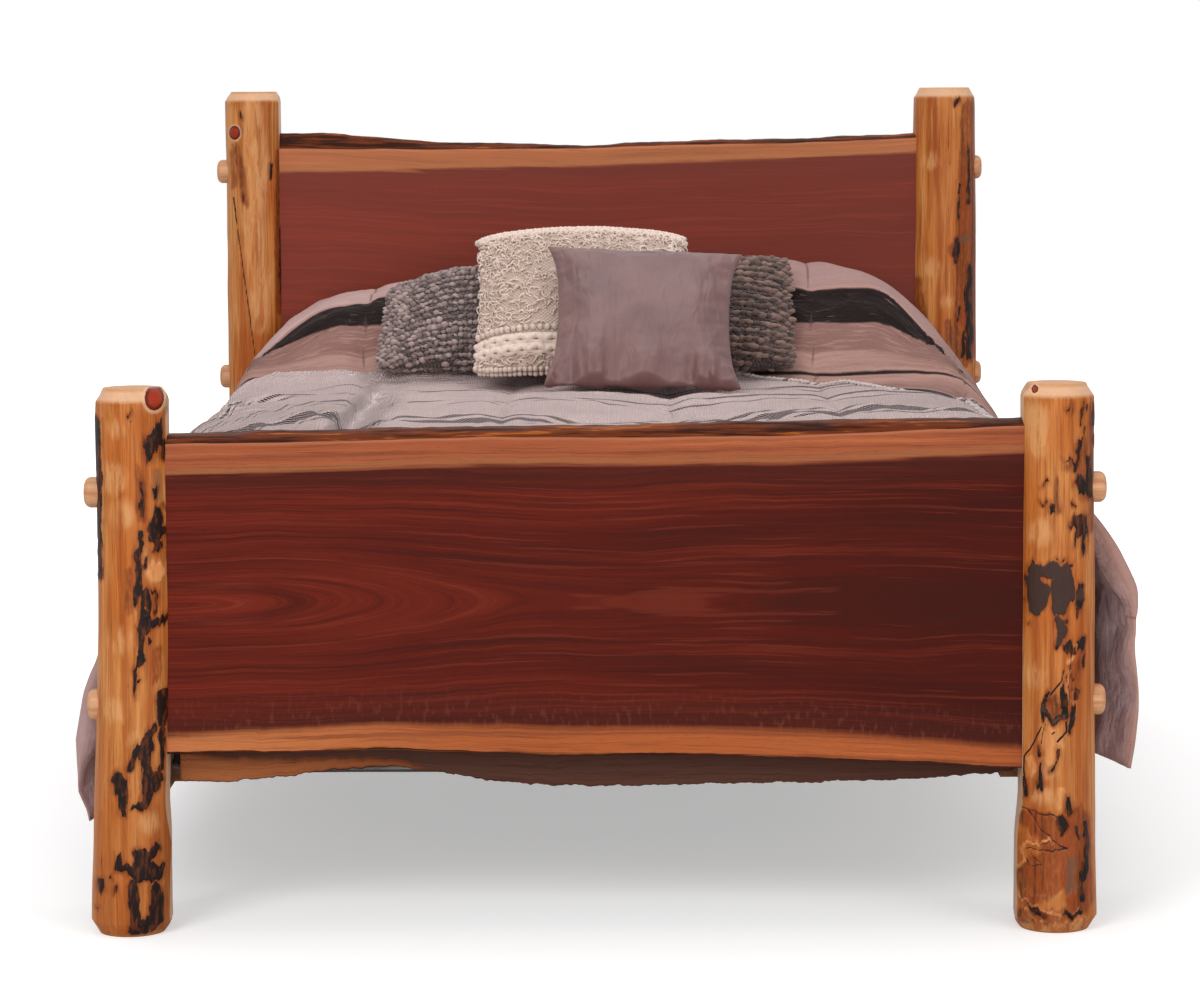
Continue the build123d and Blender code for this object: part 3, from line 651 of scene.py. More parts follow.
RIGHT_FOOT = {
    "dark": [
        [(-53, 956, 4), (-57, 950, 3)], [(19, 917, 3)], [(28, 918, 1), (28, 910, 1)],
        [(46, 919, 1.5), (43, 905, 2), (43, 884, 1.5)], [(53, 921, 1.5), (50, 912, 1.5)],
        [(50, 877, 1), (45, 862, 1.5), (40, 853, 3), (38, 834, 3), (35, 822, 3)],
        [(15, 829, 1.5), (27, 823, 2.5), (35, 820, 3.5), (32, 808, 3.5)],
        [(40, 796, 4), (41, 783, 9), (46, 770, 6)], [(54, 830, 4), (56, 800, 6), (58, 760, 5)],
        [(-24, 775, 0.8), (-14, 788, 1.2)], [(-24, 753, 1.5), (-15, 748, 1.8)],
        [(-7, 752, 2.5), (-6, 735, 2.5)], [(27, 752, 1.5), (32, 747, 1.5)],
        [(31, 728, 3), (30, 712, 7), (42, 722, 10), (44, 705, 10), (36, 697, 4)],
        [(48, 700, 5), (47, 660, 1.5)], [(32, 692, 2), (33, 676, 1.5)], [(9, 653, 1), (14, 653, 1)],
        [(-38, 634, 9), (-20, 634, 10), (14, 632, 12)], [(-38, 646, 3)], [(2, 650, 2)],
        [(24, 645, 3)], [(-38, 615, 14), (-30, 595, 20), (-34, 572, 14), (-30, 562, 5)],
        [(12, 615, 19), (12, 590, 20), (8, 570, 13)],
        [(43, 607, 4), (40, 598, 5), (41, 577, 6), (38, 557, 1.5)],
        [(2, 551, 4), (8, 541, 7), (12, 529, 7), (7, 513, 5), (2, 502, 3)], [(17, 545, 4)],
        [(-45, 542, 1.5)], [(-54, 577, 1.5)],
        [(25, 514, 4), (22, 500, 8), (30, 492, 6), (42, 500, 7), (46, 515, 3)],
        [(46, 488, 3), (47, 470, 2)], [(31, 448, 4)], [(38, 422, 4), (37, 410, 4)],
        [(32, 396, 4), (30, 380, 5), (27, 357, 3)], [(13, 430, 4), (16, 400, 5), (18, 378, 4)],
        [(-12, 378, 6), (0, 372, 8), (10, 375, 5)],
        [(-11, 418, 2), (-19, 398, 3.5), (-19, 380, 3), (-20, 366, 2)],
        [(-28, 332, 2), (-26, 312, 2.5)], [(6, 320, 2.5), (3, 300, 2), (-6, 286, 2)],
        [(-22, 296, 2), (-25, 258, 4)], [(-52, 270, 3), (-51, 240, 4)],
        [(-31, 262, 1.5), (-31, 250, 1)], [(22, 240, 3), (26, 215, 7)],
        [(8, 205, 5), (18, 190, 8), (14, 178, 3)], [(40, 183, 3), (41, 168, 3)],
        [(54, 196, 3), (56, 150, 4), (53, 95, 4)], [(47, 108, 3), (48, 60, 5)],
        [(-44, 48, 3), (-30, 38, 5), (-15, 28, 5)], [(20, 37, 3), (46, 34, 5)],
        [(66, 862, 4), (67, 850, 5)], [(62, 915, 2), (63, 880, 2.5)],
    ],
    "light": [[(-12, 405, 4), (-4, 403, 3)], [(35, 513, 1.5), (35, 491, 1.5)], [(9, 497, 1.5)]],
    "line": [
        [(27, 492, 0.9), (26, 462, 0.9), (19, 448, 1), (22, 433, 1), (27, 412, 1), (21, 400, 1),
         (21, 372, 1)],
        [(15, 460, 1.4), (11, 444, 1.6), (0, 428, 1.8), (-8, 417, 1.4)],
        [(-17, 366, 1), (-22, 348, 1), (-23, 333, 1)],
        [(19, 370, 1.4), (21, 356, 1.8), (4, 336, 1.8)],
        [(-24, 361, 1.4), (-30, 348, 1.4), (-41, 324, 1.4), (-53, 307, 1.6), (-54, 284, 1.6),
         (-52, 266, 1.4)],
        [(-62, 219, 1), (-42, 215, 1), (-25, 210, 1.2), (-12, 208, 1.2), (0, 210, 1.2),
         (5, 206, 1.2)],
        [(-46, 213, 1), (-34, 196, 1.1), (-23, 182, 1.1), (-5, 168, 1.2), (10, 155, 1.2),
         (23, 150, 1.8)],
        [(23, 150, 1.6), (12, 149, 1.4), (-7, 145, 1.4), (-25, 146, 1), (-41, 148, 1),
         (-49, 145, 1)],
        [(-42, 157, 0.8), (-30, 161, 0.8), (-21, 155, 0.8), (-9, 161, 0.9)],
        [(-41, 141, 0.9), (-32, 129, 0.9), (-23, 120, 0.9), (-46, 116, 0.9), (-48, 129, 0.8)],
        [(-1, 353, 1.6), (-5, 349, 1.2)],
    ],
    "rust": [
        [(20, 815, 8)], [(45, 850, 12), (50, 760, 12)], [(3, 790, 4), (2, 760, 5), (6, 735, 6)],
        [(62, 900, 8), (62, 700, 6)], [(10, 505, 6)], [(35, 470, 10), (30, 430, 10)],
        [(0, 400, 16), (5, 385, 16)], [(-62, 329, 2), (-62, 258, 2)],
        [(-50, 200, 16), (0, 180, 30), (20, 120, 35), (-20, 100, 40)],
        [(-45, 95, 25), (-40, 65, 20)], [(40, 200, 22), (45, 60, 25)],
        [(-50, 30, 16), (20, 30, 14)],
    ],
    "stain": [[(-15, 590, 3)], [(30, 130, 8), (30, 80, 8)]],
    "pale": [
        [(-35, 900, 20), (-30, 850, 18)], [(-30, 700, 20)], [(-10, 350, 12), (0, 330, 12)],
        [(-10, 290, 12)], [(-40, 290, 9)], [(-25, 240, 12), (5, 240, 10)], [(-40, 450, 16)],
        [(0, 10, 20), (-40, 10, 20), (40, 10, 20)],
    ],
    "grey": [
        [(-38, 615, 16), (-30, 595, 22), (-34, 572, 16)],
        [(12, 615, 21), (12, 590, 22), (8, 570, 15)], [(-38, 634, 12), (14, 632, 14)],
        [(41, 590, 12)], [(5, 545, 12), (8, 515, 12)], [(40, 798, 5)], [(41, 175, 5)],
        [(-19, 395, 6)],
    ],
    "knots": [(-37, 946, 6, 1.0)],
    "raised": [
        [(-8, 350, 10), (-4, 325, 9), (-8, 300, 7)], [(-40, 300, 8), (-38, 285, 7)],
        [(34, 500, 3), (24, 470, 3)], [(-57, 143, 2.5), (-51, 125, 2.5), (-65, 109, 2.5)],
        [(-56, 143, 2.5), (-50, 152, 3), (-30, 158, 3), (-5, 162, 3)],
        [(-62, 64, 1.6), (-46, 53, 2), (-30, 46, 2), (-12, 39, 2.4), (12, 35, 2.4), (40, 40, 2)],
        [(-49, 39, 1.4), (-30, 20, 1.4), (-12, 16, 1.6), (23, 21, 1.6), (60, 30, 1.6)],
        [(12, 250, 5), (8, 225, 4)], [(25, 455, 2.5), (20, 430, 2.5), (25, 405, 2.5)],
    ],
    "sunk": [
        [(-40, 190, 24), (0, 180, 34), (10, 110, 44), (-25, 100, 36)],
        [(-10, 395, 13), (5, 385, 15)], [(34, 420, 8), (30, 385, 7)],
    ],
}
HEAD_LEFT = {
    "dark": [
        [(-27, 1230, 3), (-25, 1218, 2)], [(-31, 1416, 3), (-29, 1406, 2)],
        [(58, 1150, 4), (57, 980, 3)], [(38, 1300, 3), (36, 1270, 2)],
    ],
    "line": [[(-50, 1226, 1.6), (-38, 1119, 1.2), (-20, 979, 1.6), (-4, 849, 1.2)]],
    "rust": [
        [(-45, 1374, 16)], [(54, 1330, 8), (52, 1180, 9), (52, 960, 9)],
        [(-44, 1342, 9), (-32, 1290, 11), (-22, 1212, 8)], [(-52, 1330, 7), (-48, 1250, 7)],
    ],
    "stain": [[(-31, 1412, 5)]],
    # A painted highlight down the post's front
    "pale": [[(-5, 1430, 20), (8, 1300, 26), (-8, 1180, 24), (6, 1050, 26), (10, 930, 18)]],
    "knots": [(-45, 1374, 13, 4.0)],
}
HEAD_RIGHT = {
    "dark": [
        [(30, 1438, 4), (27, 1428, 3)], [(35, 1250, 2.5), (34, 1168, 2)],
        [(29, 1122, 5), (30, 1095, 8), (26, 1066, 4)], [(56, 1330, 3), (57, 1200, 4)],
        [(60, 1050, 7), (58, 980, 9), (60, 900, 8), (57, 845, 7)], [(36, 960, 3), (33, 930, 2)],
        [(46, 900, 3), (44, 850, 4)],
    ],
    "line": [[(10, 1350, 0.8), (14, 1290, 0.8)]],
    # The broad strokes down the sides are partly painted shade where the post turns from the light
    "rust": [
        [(50, 1400, 14), (52, 1000, 20)], [(28, 1434, 9)], [(34, 1210, 7)], [(29, 1095, 20)],
        [(58, 1420, 20), (56, 1100, 26), (50, 860, 30)],
        [(-62, 1020, 12), (-54, 930, 18), (-40, 860, 22)],
        [(46, 1000, 20), (42, 900, 24), (42, 840, 22)], [(10, 930, 9), (15, 880, 13)],
    ],
    "stain": [[(48, 1118, 12)]],
    # Painted highlights on the post's front
    "pale": [[(7, 975, 12)], [(-30, 1300, 16)], [(-25, 1050, 18)]],
}


def wandering_marks(seed, height):
    """Seeded dark patches, rust and knots for the side of a post that the photograph hides."""
    draw = np.random.default_rng(seed)
    marks = {"dark": [], "line": [], "rust": [], "pale": [], "knots": []}
    for _ in range(int(height / 90)):
        across, up = draw.uniform(-50, 50), draw.uniform(60, height - 70)
        stroke = []
        for _ in range(draw.integers(3, 7)):
            stroke.append((across, up, draw.uniform(2, 8)))
            across += draw.uniform(-8, 8)
            up -= draw.uniform(9, 22)
        marks["dark"].append(stroke)
        marks["rust"].append([(a, u, r + 3) for a, u, r in stroke[1:]])
    for _ in range(int(height / 160)):
        across, up = draw.uniform(-45, 45), draw.uniform(60, height - 60)
        marks["pale"].append([(across, up, draw.uniform(8, 18))])
        line_end = (across + 12, up - draw.uniform(30, 90), 0.6)
        marks["line"].append([(across + 20, up, 0.8), line_end])
    for up in draw.uniform(120, height - 120, 2):
        marks["knots"].append((draw.uniform(-35, 35), up, draw.uniform(8, 13), 3.0))
    return marks


# What a post's strokes mark, apart from its knots
FIELDS = ("dark", "line", "rust", "pale", "stain", "grey", "raised", "sunk", "light")
# Depth in mm at a point that is far outside every stroke
FAR_OUTSIDE = -60.0
# The bevels of the posts' ends: mm along the post and mm in from its side
BEVEL_UP, BEVEL_IN = 23, 14


def post(node, seed, marks, cell, radii, lean=0.0, flat_side=0.060):
    """One log post in place of its CAD node, with relief and the marks that its material reads.

    cell is the size of its mesh cells in mm, radii are its radius in mm near the floor, below its
    middle and near its top, lean is how many mm its foot bends to the right, and flat_side is how
    many metres from its axis its inner side is flat.
    """
    low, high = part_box(node)
    axis = (low + high) / 2
    height = high.z / MM
    to_camera = math.atan2(CAMERA_PLACE.x - axis.x, axis.y - CAMERA_PLACE.y)
    inner = -math.copysign(1, axis.x)
    radius_at = np.poly1d(np.polyfit([BEVEL_UP, 0.45 * height, height - BEVEL_UP], radii, 2))
    columns = round(2 * math.pi * 65 / cell)
    turn = np.linspace(0, 2 * math.pi, columns, endpoint=False)
    sides = np.linspace(BEVEL_UP, height - BEVEL_UP, round((height - 2 * BEVEL_UP) / cell))
    caps, bevel = (0.4, 0.75, 1), (0.25, 0.5, 0.75)
    foot, head = radius_at(BEVEL_UP), radius_at(height)
    profile = [(share * (foot - BEVEL_IN), 0) for share in caps]
    profile += [(foot - BEVEL_IN * (1 - step), BEVEL_UP * step) for step in bevel]
    profile += list(zip(radius_at(sides), sides))
    profile += [(head - BEVEL_IN * step, height - BEVEL_UP * (1 - step)) for step in bevel]
    profile += [(share * (head - BEVEL_IN), height) for share in reversed(caps)]
    radius, up = np.array(profile).T
    radius, up = radius[:, None] + 0 * turn, up[:, None] + 0 * turn
    here = np.stack([np.cos(turn) * radius, np.sin(turn) * radius, up], axis=-1) * MM

    def rough(scale, step, octaves=1):
        return noise(here, scale, seed + step, octaves)

    on_side = smooth(0, 12, up) * smooth(height, height - 12, up)
    rim = smooth(45, 20, up) + smooth(height - 45, height - 20, up)
    radius = radius + on_side * (rough((14, 14, 7), 0, 2) + 0.35 * rough((60, 60, 12), 9))
    radius = radius + rim * on_side * 1.6 * rough((22, 22, 16), 20)
    up = up + rim * on_side * (1 - on_side) * 6 * noise(here * [1, 1, 0], 20, seed + 30)
    warp_across = 2.6 * rough((95, 95, 45), 3) + 1.8 * rough((240, 240, 70), 4)
    warp_up = 8.0 * rough((170, 170, 40), 5)
    fields = {key: np.full(radius.shape, FAR_OUTSIDE) for key in FIELDS}
    knot = np.zeros(radius.shape)
    hidden_marks = wandering_marks(seed + 50, height)
    for facing, marked in ((to_camera, marks), (to_camera + math.pi, hidden_marks)):
        angle = (turn + math.pi / 2 - facing + math.pi) % (2 * math.pi) - math.pi
        angle = angle[None, :] + 0 * radius
        across = radius * np.sin(np.clip(angle, -math.pi / 2, math.pi / 2))
        behind = np.maximum(0, np.abs(angle) - math.pi / 2) * radius
        for key in FIELDS:
            if key in marked:
                share = 0.25 if key == "line" else 1.0
                inside = depth_in(across + share * warp_across, up + share * warp_up, marked[key])
                fields[key] = np.maximum(fields[key], inside - 0.9 * behind)
        for a, u, size, proud in marked.get("knots", []):
            away = np.hypot(across - a, (up - u) * 0.8) + 2 * behind
            radius = radius + proud * smooth(size * 1.5, size * 0.2, away)
            radius = radius - 1.2 * np.exp(-((away - size) / 1.6) ** 2)
            knot = np.maximum(knot, np.clip(1.5 - away / size, 0, 1))
    dark = np.minimum(fields["dark"], -fields["light"])
    radius = radius + 0.9 * smooth(-0.8, 0.8, dark) * on_side
    radius = radius + 3.0 * smooth(-1.5, 3.5, fields["raised"])
    radius = radius - 2.6 * smooth(-1.5, 5, fields["sunk"])
    radius = radius - 1.3 * smooth(-1.2, 0.6, fields["line"])
    x, y = np.cos(turn) * radius, np.sin(turn) * radius
    flat_at = flat_side / MM + 0.5 * rough((9, 9, 5), 8) + 8 * smooth(240, 150, up)
    facet = smooth(-0.6, 0.4, inner * x - flat_at) * on_side
    facet = np.maximum(facet, 0.8 * smooth(height - 24, height - 19, up))
    x = np.where((inner * x > flat_at) & (on_side > 0.5), inner * flat_at, x)
    x = x + lean * smooth(600, 0, up)
    points = np.stack([axis.x / MM + x, axis.y / MM + y, up], axis=-1) * MM
    # The pale field also carries painted highlights on the head posts
    # The rust field also carries painted shade down the right head post's sides
    attributes = {
        "dark": np.clip(dark, -12, 12), "line": np.clip(fields["line"], -6, 6),
        "rust": 0.8 * smooth(-4, 5, fields["rust"]), "stain": 0.7 * smooth(-3, 3, fields["stain"]),
        "pale": 0.65 * smooth(-12, 8, fields["pale"]), "grey": smooth(-1, 2, fields["grey"]),
        "knot": knot, "ridge": smooth(-0.8, 1.2, fields["raised"]), "facet": facet,
        "cap": smooth(2, 0, up) + smooth(height - 2, height, up),
        "end_grain": laid_flat(x * MM, y * MM),
    }
    faces = capped_faces(len(profile), columns)
    piece = new_object(node + "_log", points, faces, MATERIALS["post_log"], attributes)
    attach(piece, "bed")
    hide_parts(node)


# ---------------------------------------------------------------- slabs

# How deep a slab's top edge slopes back from its front, and the size of its back's bevels
TOP_SLOPE = 0.020
BACK_BEVEL = 0.004


def slab(node, name, sap_top, sap_low, seed, lower_wane=0.004, shade=0.0, ragged=0.0, painted_light_and_shade=0.0):
    """A live-edge slab in place of its CAD node. sap_top and sap_low list sapwood widths along it.

    lower_wane is the height of the bark along its lower edge, shade paints a grey shadow over the
    heartwood, ragged is the size of the lower edge's teeth, and tone paints light on the slab,
    making it paler, or where negative paints shade, making it darker.
    """
    low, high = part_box(node)
    tree = tree_of(node)
    xs = np.linspace(low.x, high.x, round((high.x - low.x) / 0.004) + 1)
    probe = np.clip(xs, low.x + 0.001, high.x - 0.001)
    above, below = high.z + 0.5, low.z - 0.5
    front, back = low.y, high.y
    top = edge_heights(tree, probe, back - 0.01, above, -1)
    arris = edge_heights(tree, probe, front + 0.0005, above, -1)
    bottom = edge_heights(tree, probe, (front + back) / 2, below, 1)
    line = laid_flat(xs, 0 * xs)
    top = top + 0.0014 * noise(line, 16, seed, 3)
    arris = arris + 0.0008 * noise(line, 16, seed + 5, 2)
    bottom = bottom + 0.0014 * noise(line, 26, seed + 9, 3)
    bottom = bottom + ragged * noise(line, 130, seed + 10, 2)
    low_edge = bottom + lower_wane * (1 + 0.35 * noise(line, 9, seed + 12, 2))
    # Its section, round from the front's foot: depth, height, share of bark and share of the
    # arris's painted highlight
    ring = []
    for share in np.linspace(0, 1, 8):
        depth = front + 0.006 * (1 - share) ** 2
        ring.append((depth, bottom + (low_edge - bottom) * share, share < 0.95, 0))
    for share in np.linspace(0, 1, 110)[1:]:
        ring.append((front, low_edge + (arris - low_edge) * share, 0, share > 0.999))
    for share in np.linspace(0, 1, 14)[1:]:
        bulge = 0.004 * math.sin(math.pi * share)
        height = arris + (top - arris) * share + bulge * 0.4
        ring.append((front + TOP_SLOPE * share - bulge * 0.6, height, 1, 0))
    for share in (0.35, 0.7, 0.92):
        ring.append((front + TOP_SLOPE + (back - front - TOP_SLOPE) * share, top, 1, 0))
    ring.append((back, top - BACK_BEVEL, 1, 0))
    for share in np.linspace(0, 1, 60)[1:-1]:
        height = top - BACK_BEVEL + (bottom + BACK_BEVEL - top + BACK_BEVEL) * share
        ring.append((back, height, 0, 0))
    ring.append((back, bottom + BACK_BEVEL, 1, 0))
    ring.append((back - 0.006, bottom, 1, 0))
    ring.append(((front + back) / 2, bottom, 1, 0))
    depths, heights, bark, arris_highlight = (np.array([part[i] + 0 * xs for part in ring]) for i in range(4))
    across = xs + 0 * heights
    here = np.stack([across, depths, heights], axis=-1)
    rough = 0.0016 * noise(here, (16, 90, 90), seed + 3, 3) * bark
    depths = depths + rough * (depths < (front + back) / 2)
    heights = heights + rough * (depths > front + 0.015)
    share = (heights - bottom) / (top - bottom)
    mean = float(np.mean(top - bottom))
    top_width = np.interp(xs, np.linspace(low.x, high.x, len(sap_top)), sap_top)
    low_width = np.interp(xs, np.linspace(low.x, high.x, len(sap_low)), sap_low)
    in_low_sap = bottom + low_width - heights
    attributes = {"grain": laid_flat(across, share * mean), "wane": bark, "arris": arris_highlight,
                  "painted_light_and_shade": painted_light_and_shade + 0 * across, "sap_top": heights - arris + top_width,
                  "sap_low": in_low_sap, "shade": shade * smooth(0.004, -0.012, in_low_sap)}
    attributes = {key: values.swapaxes(0, 1) for key, values in attributes.items()}
    points = np.stack([across, depths, heights], axis=-1).swapaxes(0, 1)
    faces = [face[::-1] for face in capped_faces(*points.shape[:2])]
    piece = new_object(name, points, faces, MATERIALS["slab_wood"], attributes)
    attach(piece, "bed")
    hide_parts(node)


# ---------------------------------------------------------------- bedding

HUMP_START = 0.460
COVER_CELL = 0.012
# Rays that look for the comforter's outside in each row of its grid, and points kept of each row
COVER_RAYS, COVER_COLUMNS = 420, 271
# Distances along the comforter from the foot of its climb: sewn lines, dark bands and mauve bands
CROSS_SEAMS = (-1.25, -0.93, -0.61, -0.29, 0.033, 0.183, 0.262, 0.50)
LONG_SEAMS = (-1.14, -0.82, -0.49, -0.16, 0.17, 0.49, 0.82, 1.14)
DARK_BANDS = ((-1.22, -1.17), (-0.95, -0.94), (-0.70, -0.60), (-0.42, -0.41), (-0.20, -0.09),
              (0.028, 0.039))
MAUVE_BANDS = ((-1.36, -1.22), (-0.86, -0.76), (-0.56, -0.47), (-0.075, -0.02))
# The print turns towards the foot end down the hump's left and right sides: start, width and reach
PRINT_TURN = {-1: (0.55, 0.30, 0.38), 1: (0.62, 0.30, 0.38)}
# Heights, and how far the comforter's left foot corner swings in at each of them
CORNER_SWING = ((0.19, 0.225, 0.26, 0.34, 0.39, 0.44, 0.485, 0.53, 0.70, 0.78),
                (0.014, 0.007, -0.008, -0.009, 0.002, 0.012, 0.026, 0.046, 0.03, 0))
# The right foot corner's bulges: how far out, at what height and how softly
RIGHT_BULGES = ((0.014, 0.60, 0.09), (0.009, 0.53, 0.05), (0.011, 0.37, 0.10))
# The hump is lower towards its left side: distances across, and the height of its crest there
LEFT_CREST = ((-0.87, -0.83, -0.80, -0.78, -0.75, -0.70, -0.64, -0.58, -0.48, -0.30, -0.12),
              (0.68, 0.735, 0.788, 0.842, 0.890, 0.943, 0.977, 0.998, 1.020, 1.06, 1.15))


def blurred(values, cells):
    """A grid blurred along both of its axes over so many cells, with its borders held."""
    reach = int(3 * cells) + 1
    weights = np.exp(-0.5 * (np.arange(-reach, reach + 1) / cells) ** 2)
    weights /= weights.sum()
    for axis in (0, 1):
        moved = np.moveaxis(values, axis, 0)
        head = 2 * moved[:1] - moved[1:reach + 1][::-1]
        tail = 2 * moved[-1:] - moved[-reach - 1:-1][::-1]
        long = np.concatenate([head, moved, tail])
        total = sum(w * long[i:i + len(moved)] for i, w in enumerate(weights))
        values = np.moveaxis(total, 0, axis)
    return values


def normals_of(points):
    """Unit normals of a grid of points, to the left of its rows seen along its columns."""
    normal = np.cross(np.gradient(points, axis=1), np.gradient(points, axis=0))
    return normal / np.linalg.norm(normal, axis=-1, keepdims=True)


def print_bend(across, along):
    """How far the print has turned towards the foot end at each point of the comforter."""
    bend = 0 * across
    for side, (start, width, reach) in PRINT_TURN.items():
        bend = bend + reach * smooth(start, start + width, side * across)
    return bend * smooth(0.02, 0.16, along)


def seam_distance(values, seams):
    """Distance of each value to the nearest seam."""
    return np.min([np.abs(values - seam) for seam in seams], axis=0)


def cover_surface():
    """The comforter's smooth outer surface as a grid, with its lengths across and along."""
    tree = tree_of("comforter")
    low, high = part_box("comforter")
    ys = np.linspace(low.y, high.y, round((high.y - low.y) / COVER_CELL) + 1)
    centre = Vector((0, 0, 0.55))
    dip = math.atan2(centre.z - low.z + 0.02, high.x)
    angles = np.linspace(math.pi + dip, -dip, COVER_RAYS)
    grid = np.zeros((len(ys), COVER_COLUMNS, 3))
    for row, y in enumerate(ys):
        centre.y = min(max(y, low.y + 0.002), high.y - 0.002)
        line = []
        for angle in angles:
            out = Vector((math.cos(angle), 0, math.sin(angle)))
            hit, normal, _, _ = tree.ray_cast(centre + 3 * out, -out, 2.9)
            if hit and normal.z > -0.7:
                line.append((hit.x, y, hit.z))
        line = np.array(line)
        run = run_of(line)
        grid[row] = on_line(line, run, np.linspace(0, run[-1], COVER_COLUMNS))
    grid = blurred(grid, 2.2)
    across = np.cumsum(np.linalg.norm(np.diff(grid, axis=1, prepend=grid[:, :1]), axis=-1), axis=1)
    half = COVER_COLUMNS // 2
    across = across - across[:, half:half + 1]
    along = run_of(grid[:, half])
    along = along - np.interp(HUMP_START, ys, along)
    along = along[:, None] + 0 * across
    x, y, z = grid[..., 0], grid[..., 1], grid[..., 2]
    hanging = smooth(0.80, 0.45, z) * smooth(0.80, 0.88, np.abs(x))
    sway = noise(np.stack([0 * x, along, 0.15 * z], -1), 4.2, 61, 2)
    x = x + np.sign(x) * hanging * 0.010 * sway
    z = z + hanging * smooth(0.5, 0.25, z) * 0.018 * noise(np.stack([x, along, 0 * z], -1), 3, 62)
    x = x + smooth(-0.58, -1.0, y) * (x < 0) * np.interp(z, *CORNER_SWING)
    z = z - 0.025 * smooth(-0.80, -0.97, y) * smooth(0.45, 0.27, z) * (x < 0)
    z = left_crest(x, y, z)
    bulges = sum(out * np.exp(-((z - height) / soft) ** 2) for out, height, soft in RIGHT_BULGES)
    x = x + bulges * smooth(-0.5, -0.9, y) * (x > 0)
    dome = smooth(0.40, 0.78, np.abs(x)) * smooth(HUMP_START + 0.05, HUMP_START - 0.1, y)
    z = z - 0.014 * dome * (1 - hanging)
    return np.stack([x, y, z], axis=-1), across, along


def left_crest(x, y, z, room=0.0):
    """The height z brought down under the hump's left crest, and so much room below it."""
    over = z - np.interp(x, *LEFT_CREST) + room
    capped = z - np.logaddexp(0, over / 0.010) * 0.010 * 0.92
    share = smooth(HUMP_START - 0.04, HUMP_START + 0.04, y) * (x < -0.12)
    return z + (capped - z) * share


def quilted(points, across, print_line):
    """The surface puffed between its seams, with small gathers beside them."""
    normal = normals_of(points)
    near = np.minimum(seam_distance(print_line, CROSS_SEAMS), seam_distance(across, LONG_SEAMS))
    hanging = smooth(0.70, 0.50, points[..., 2])
    puff = 0.014 * (1 - np.exp(-near / 0.035)) * (1 - 0.5 * hanging)
    flat = laid_flat(across, print_line)
    gathers = 0.0045 * np.exp(-near / 0.06) * noise(flat, (24, 24, 1), 71, 2)
    loose = 0.0045 * noise(flat, (6, 7, 1), 72, 3)
    return points + normal * (puff + gathers + loose - 0.009 + 0.008 * hanging)[..., None], near


def shell(name, outer, thickness, material, attributes, inside=None):
    """A closed cloth from its outer grid, thickness deep, with inside marked on its back."""
    rows, columns = outer.shape[:2]
    normal = normals_of(outer)
    inner = outer - normal * np.broadcast_to(thickness, (rows, columns))[..., None]
    points = np.concatenate([outer.reshape(-1, 3), inner.reshape(-1, 3)])
    front = grid_faces(rows, columns)
    count = rows * columns
    border = list(range(columns))
    border += [row * columns + columns - 1 for row in range(1, rows)]
    border += [(rows - 1) * columns + i for i in range(columns - 2, -1, -1)]
    border += [row * columns for row in range(rows - 2, 0, -1)]
    faces = front.tolist() + (front[:, ::-1] + count).tolist()
    faces += [(b, a, a + count, b + count) for a, b in zip(border, border[1:] + border[:1])]
    doubled = {key: np.concatenate([values.reshape(count, -1)] * 2)
               for key, values in attributes.items()}
    if inside is not None:
        doubled["inside"] = np.concatenate([np.zeros(count), inside.ravel()])
    return new_object(name, points, faces, material, doubled)


def edge_distance(points):
    """Distance of each grid point from the grid's border, counted in its own cells."""
    rows, columns = points.shape[:2]
    row, column = np.meshgrid(np.arange(rows), np.arange(columns), indexing="ij")
    return np.minimum(np.minimum(row, rows - 1 - row), np.minimum(column, columns - 1 - column))


def comforter(surface, across, along):
    """The quilted comforter in place of its CAD shell."""
    bend = print_bend(across, along)
    outer, near = quilted(surface, across, along + bend)
    border = edge_distance(outer) * COVER_CELL
    round_edge = np.sqrt(1 - (1 - np.clip(border / 0.012, 0, 1)) ** 2)
    thickness = 0.012 + 0.022 * round_edge * (0.75 + 0.25 * smooth(0, 0.06, near))
    # The hanging foot ends have a narrow hem, with the lining swelling and creased behind it
    from_end = (np.arange(outer.shape[0]) * COVER_CELL)[:, None] + 0 * thickness
    height = outer[..., 2]
    is_left = outer[..., 0] < 0
    hem = np.where(is_left, 0.006 + 0.034 * smooth(0.25, 0.33, height),
                   0.015 + 0.026 * smooth(0.50, 0.62, height))
    folded = np.stack([height + 0.6 * outer[..., 1], outer[..., 1], 0 * height], -1)
    creases = 0.006 * noise(folded, (16, 9, 1), 75, 2)
    lining = hem + (0.053 - hem) * smooth(0.0, 0.11, from_end) + creases
    at_end = smooth(0.72, 0.62, height) * smooth(0.30, 0.12, from_end)
    thickness = thickness + (lining * (0.4 + 0.6 * round_edge) - thickness) * at_end
    flat = np.stack([across, along + bend, bend], axis=-1)
    folded_over = 3.0 * smooth(0.25, 0.33, height) * is_left
    inside = smooth(0.4 + folded_over, 1.6 + folded_over, edge_distance(outer))
    piece = shell("comforter_quilt", outer, thickness, MATERIALS["comforter"],
                  {"cloth": flat, "seam": near}, inside)
    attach(piece, "bed")
    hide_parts("comforter")
    return outer


# Distances along and across the comforter. The throw's two head corners are cut back.
THROW_FOOT, THROW_HEAD = -1.410, 0.042
LEFT_EDGE = ((-0.16, -0.08, -0.02, 0.02, 0.042), (-0.845, -0.825, -0.775, -0.71, -0.655))
RIGHT_EDGE = ((-0.38, 0.042), (0.845, 0.31))
THROW_THICKNESS = 0.004
THROW_ROWS, THROW_COLUMNS = 291, 321
# Places along the throw where it stands up in folds that run across it
THROW_RIDGES = (-0.865, -0.45, -0.17)
# How far the stripes are pulled towards the head end at places across the throw
STRIPE_PULL = ((-0.85, -0.62, -0.474, -0.45, -0.42, -0.38, -0.15, 0.14, 0.31, 0.85),
               (-0.75, -0.12, 0.20, -0.40, -0.30, -0.05, 0.0, -0.12, -0.05, 0.40))


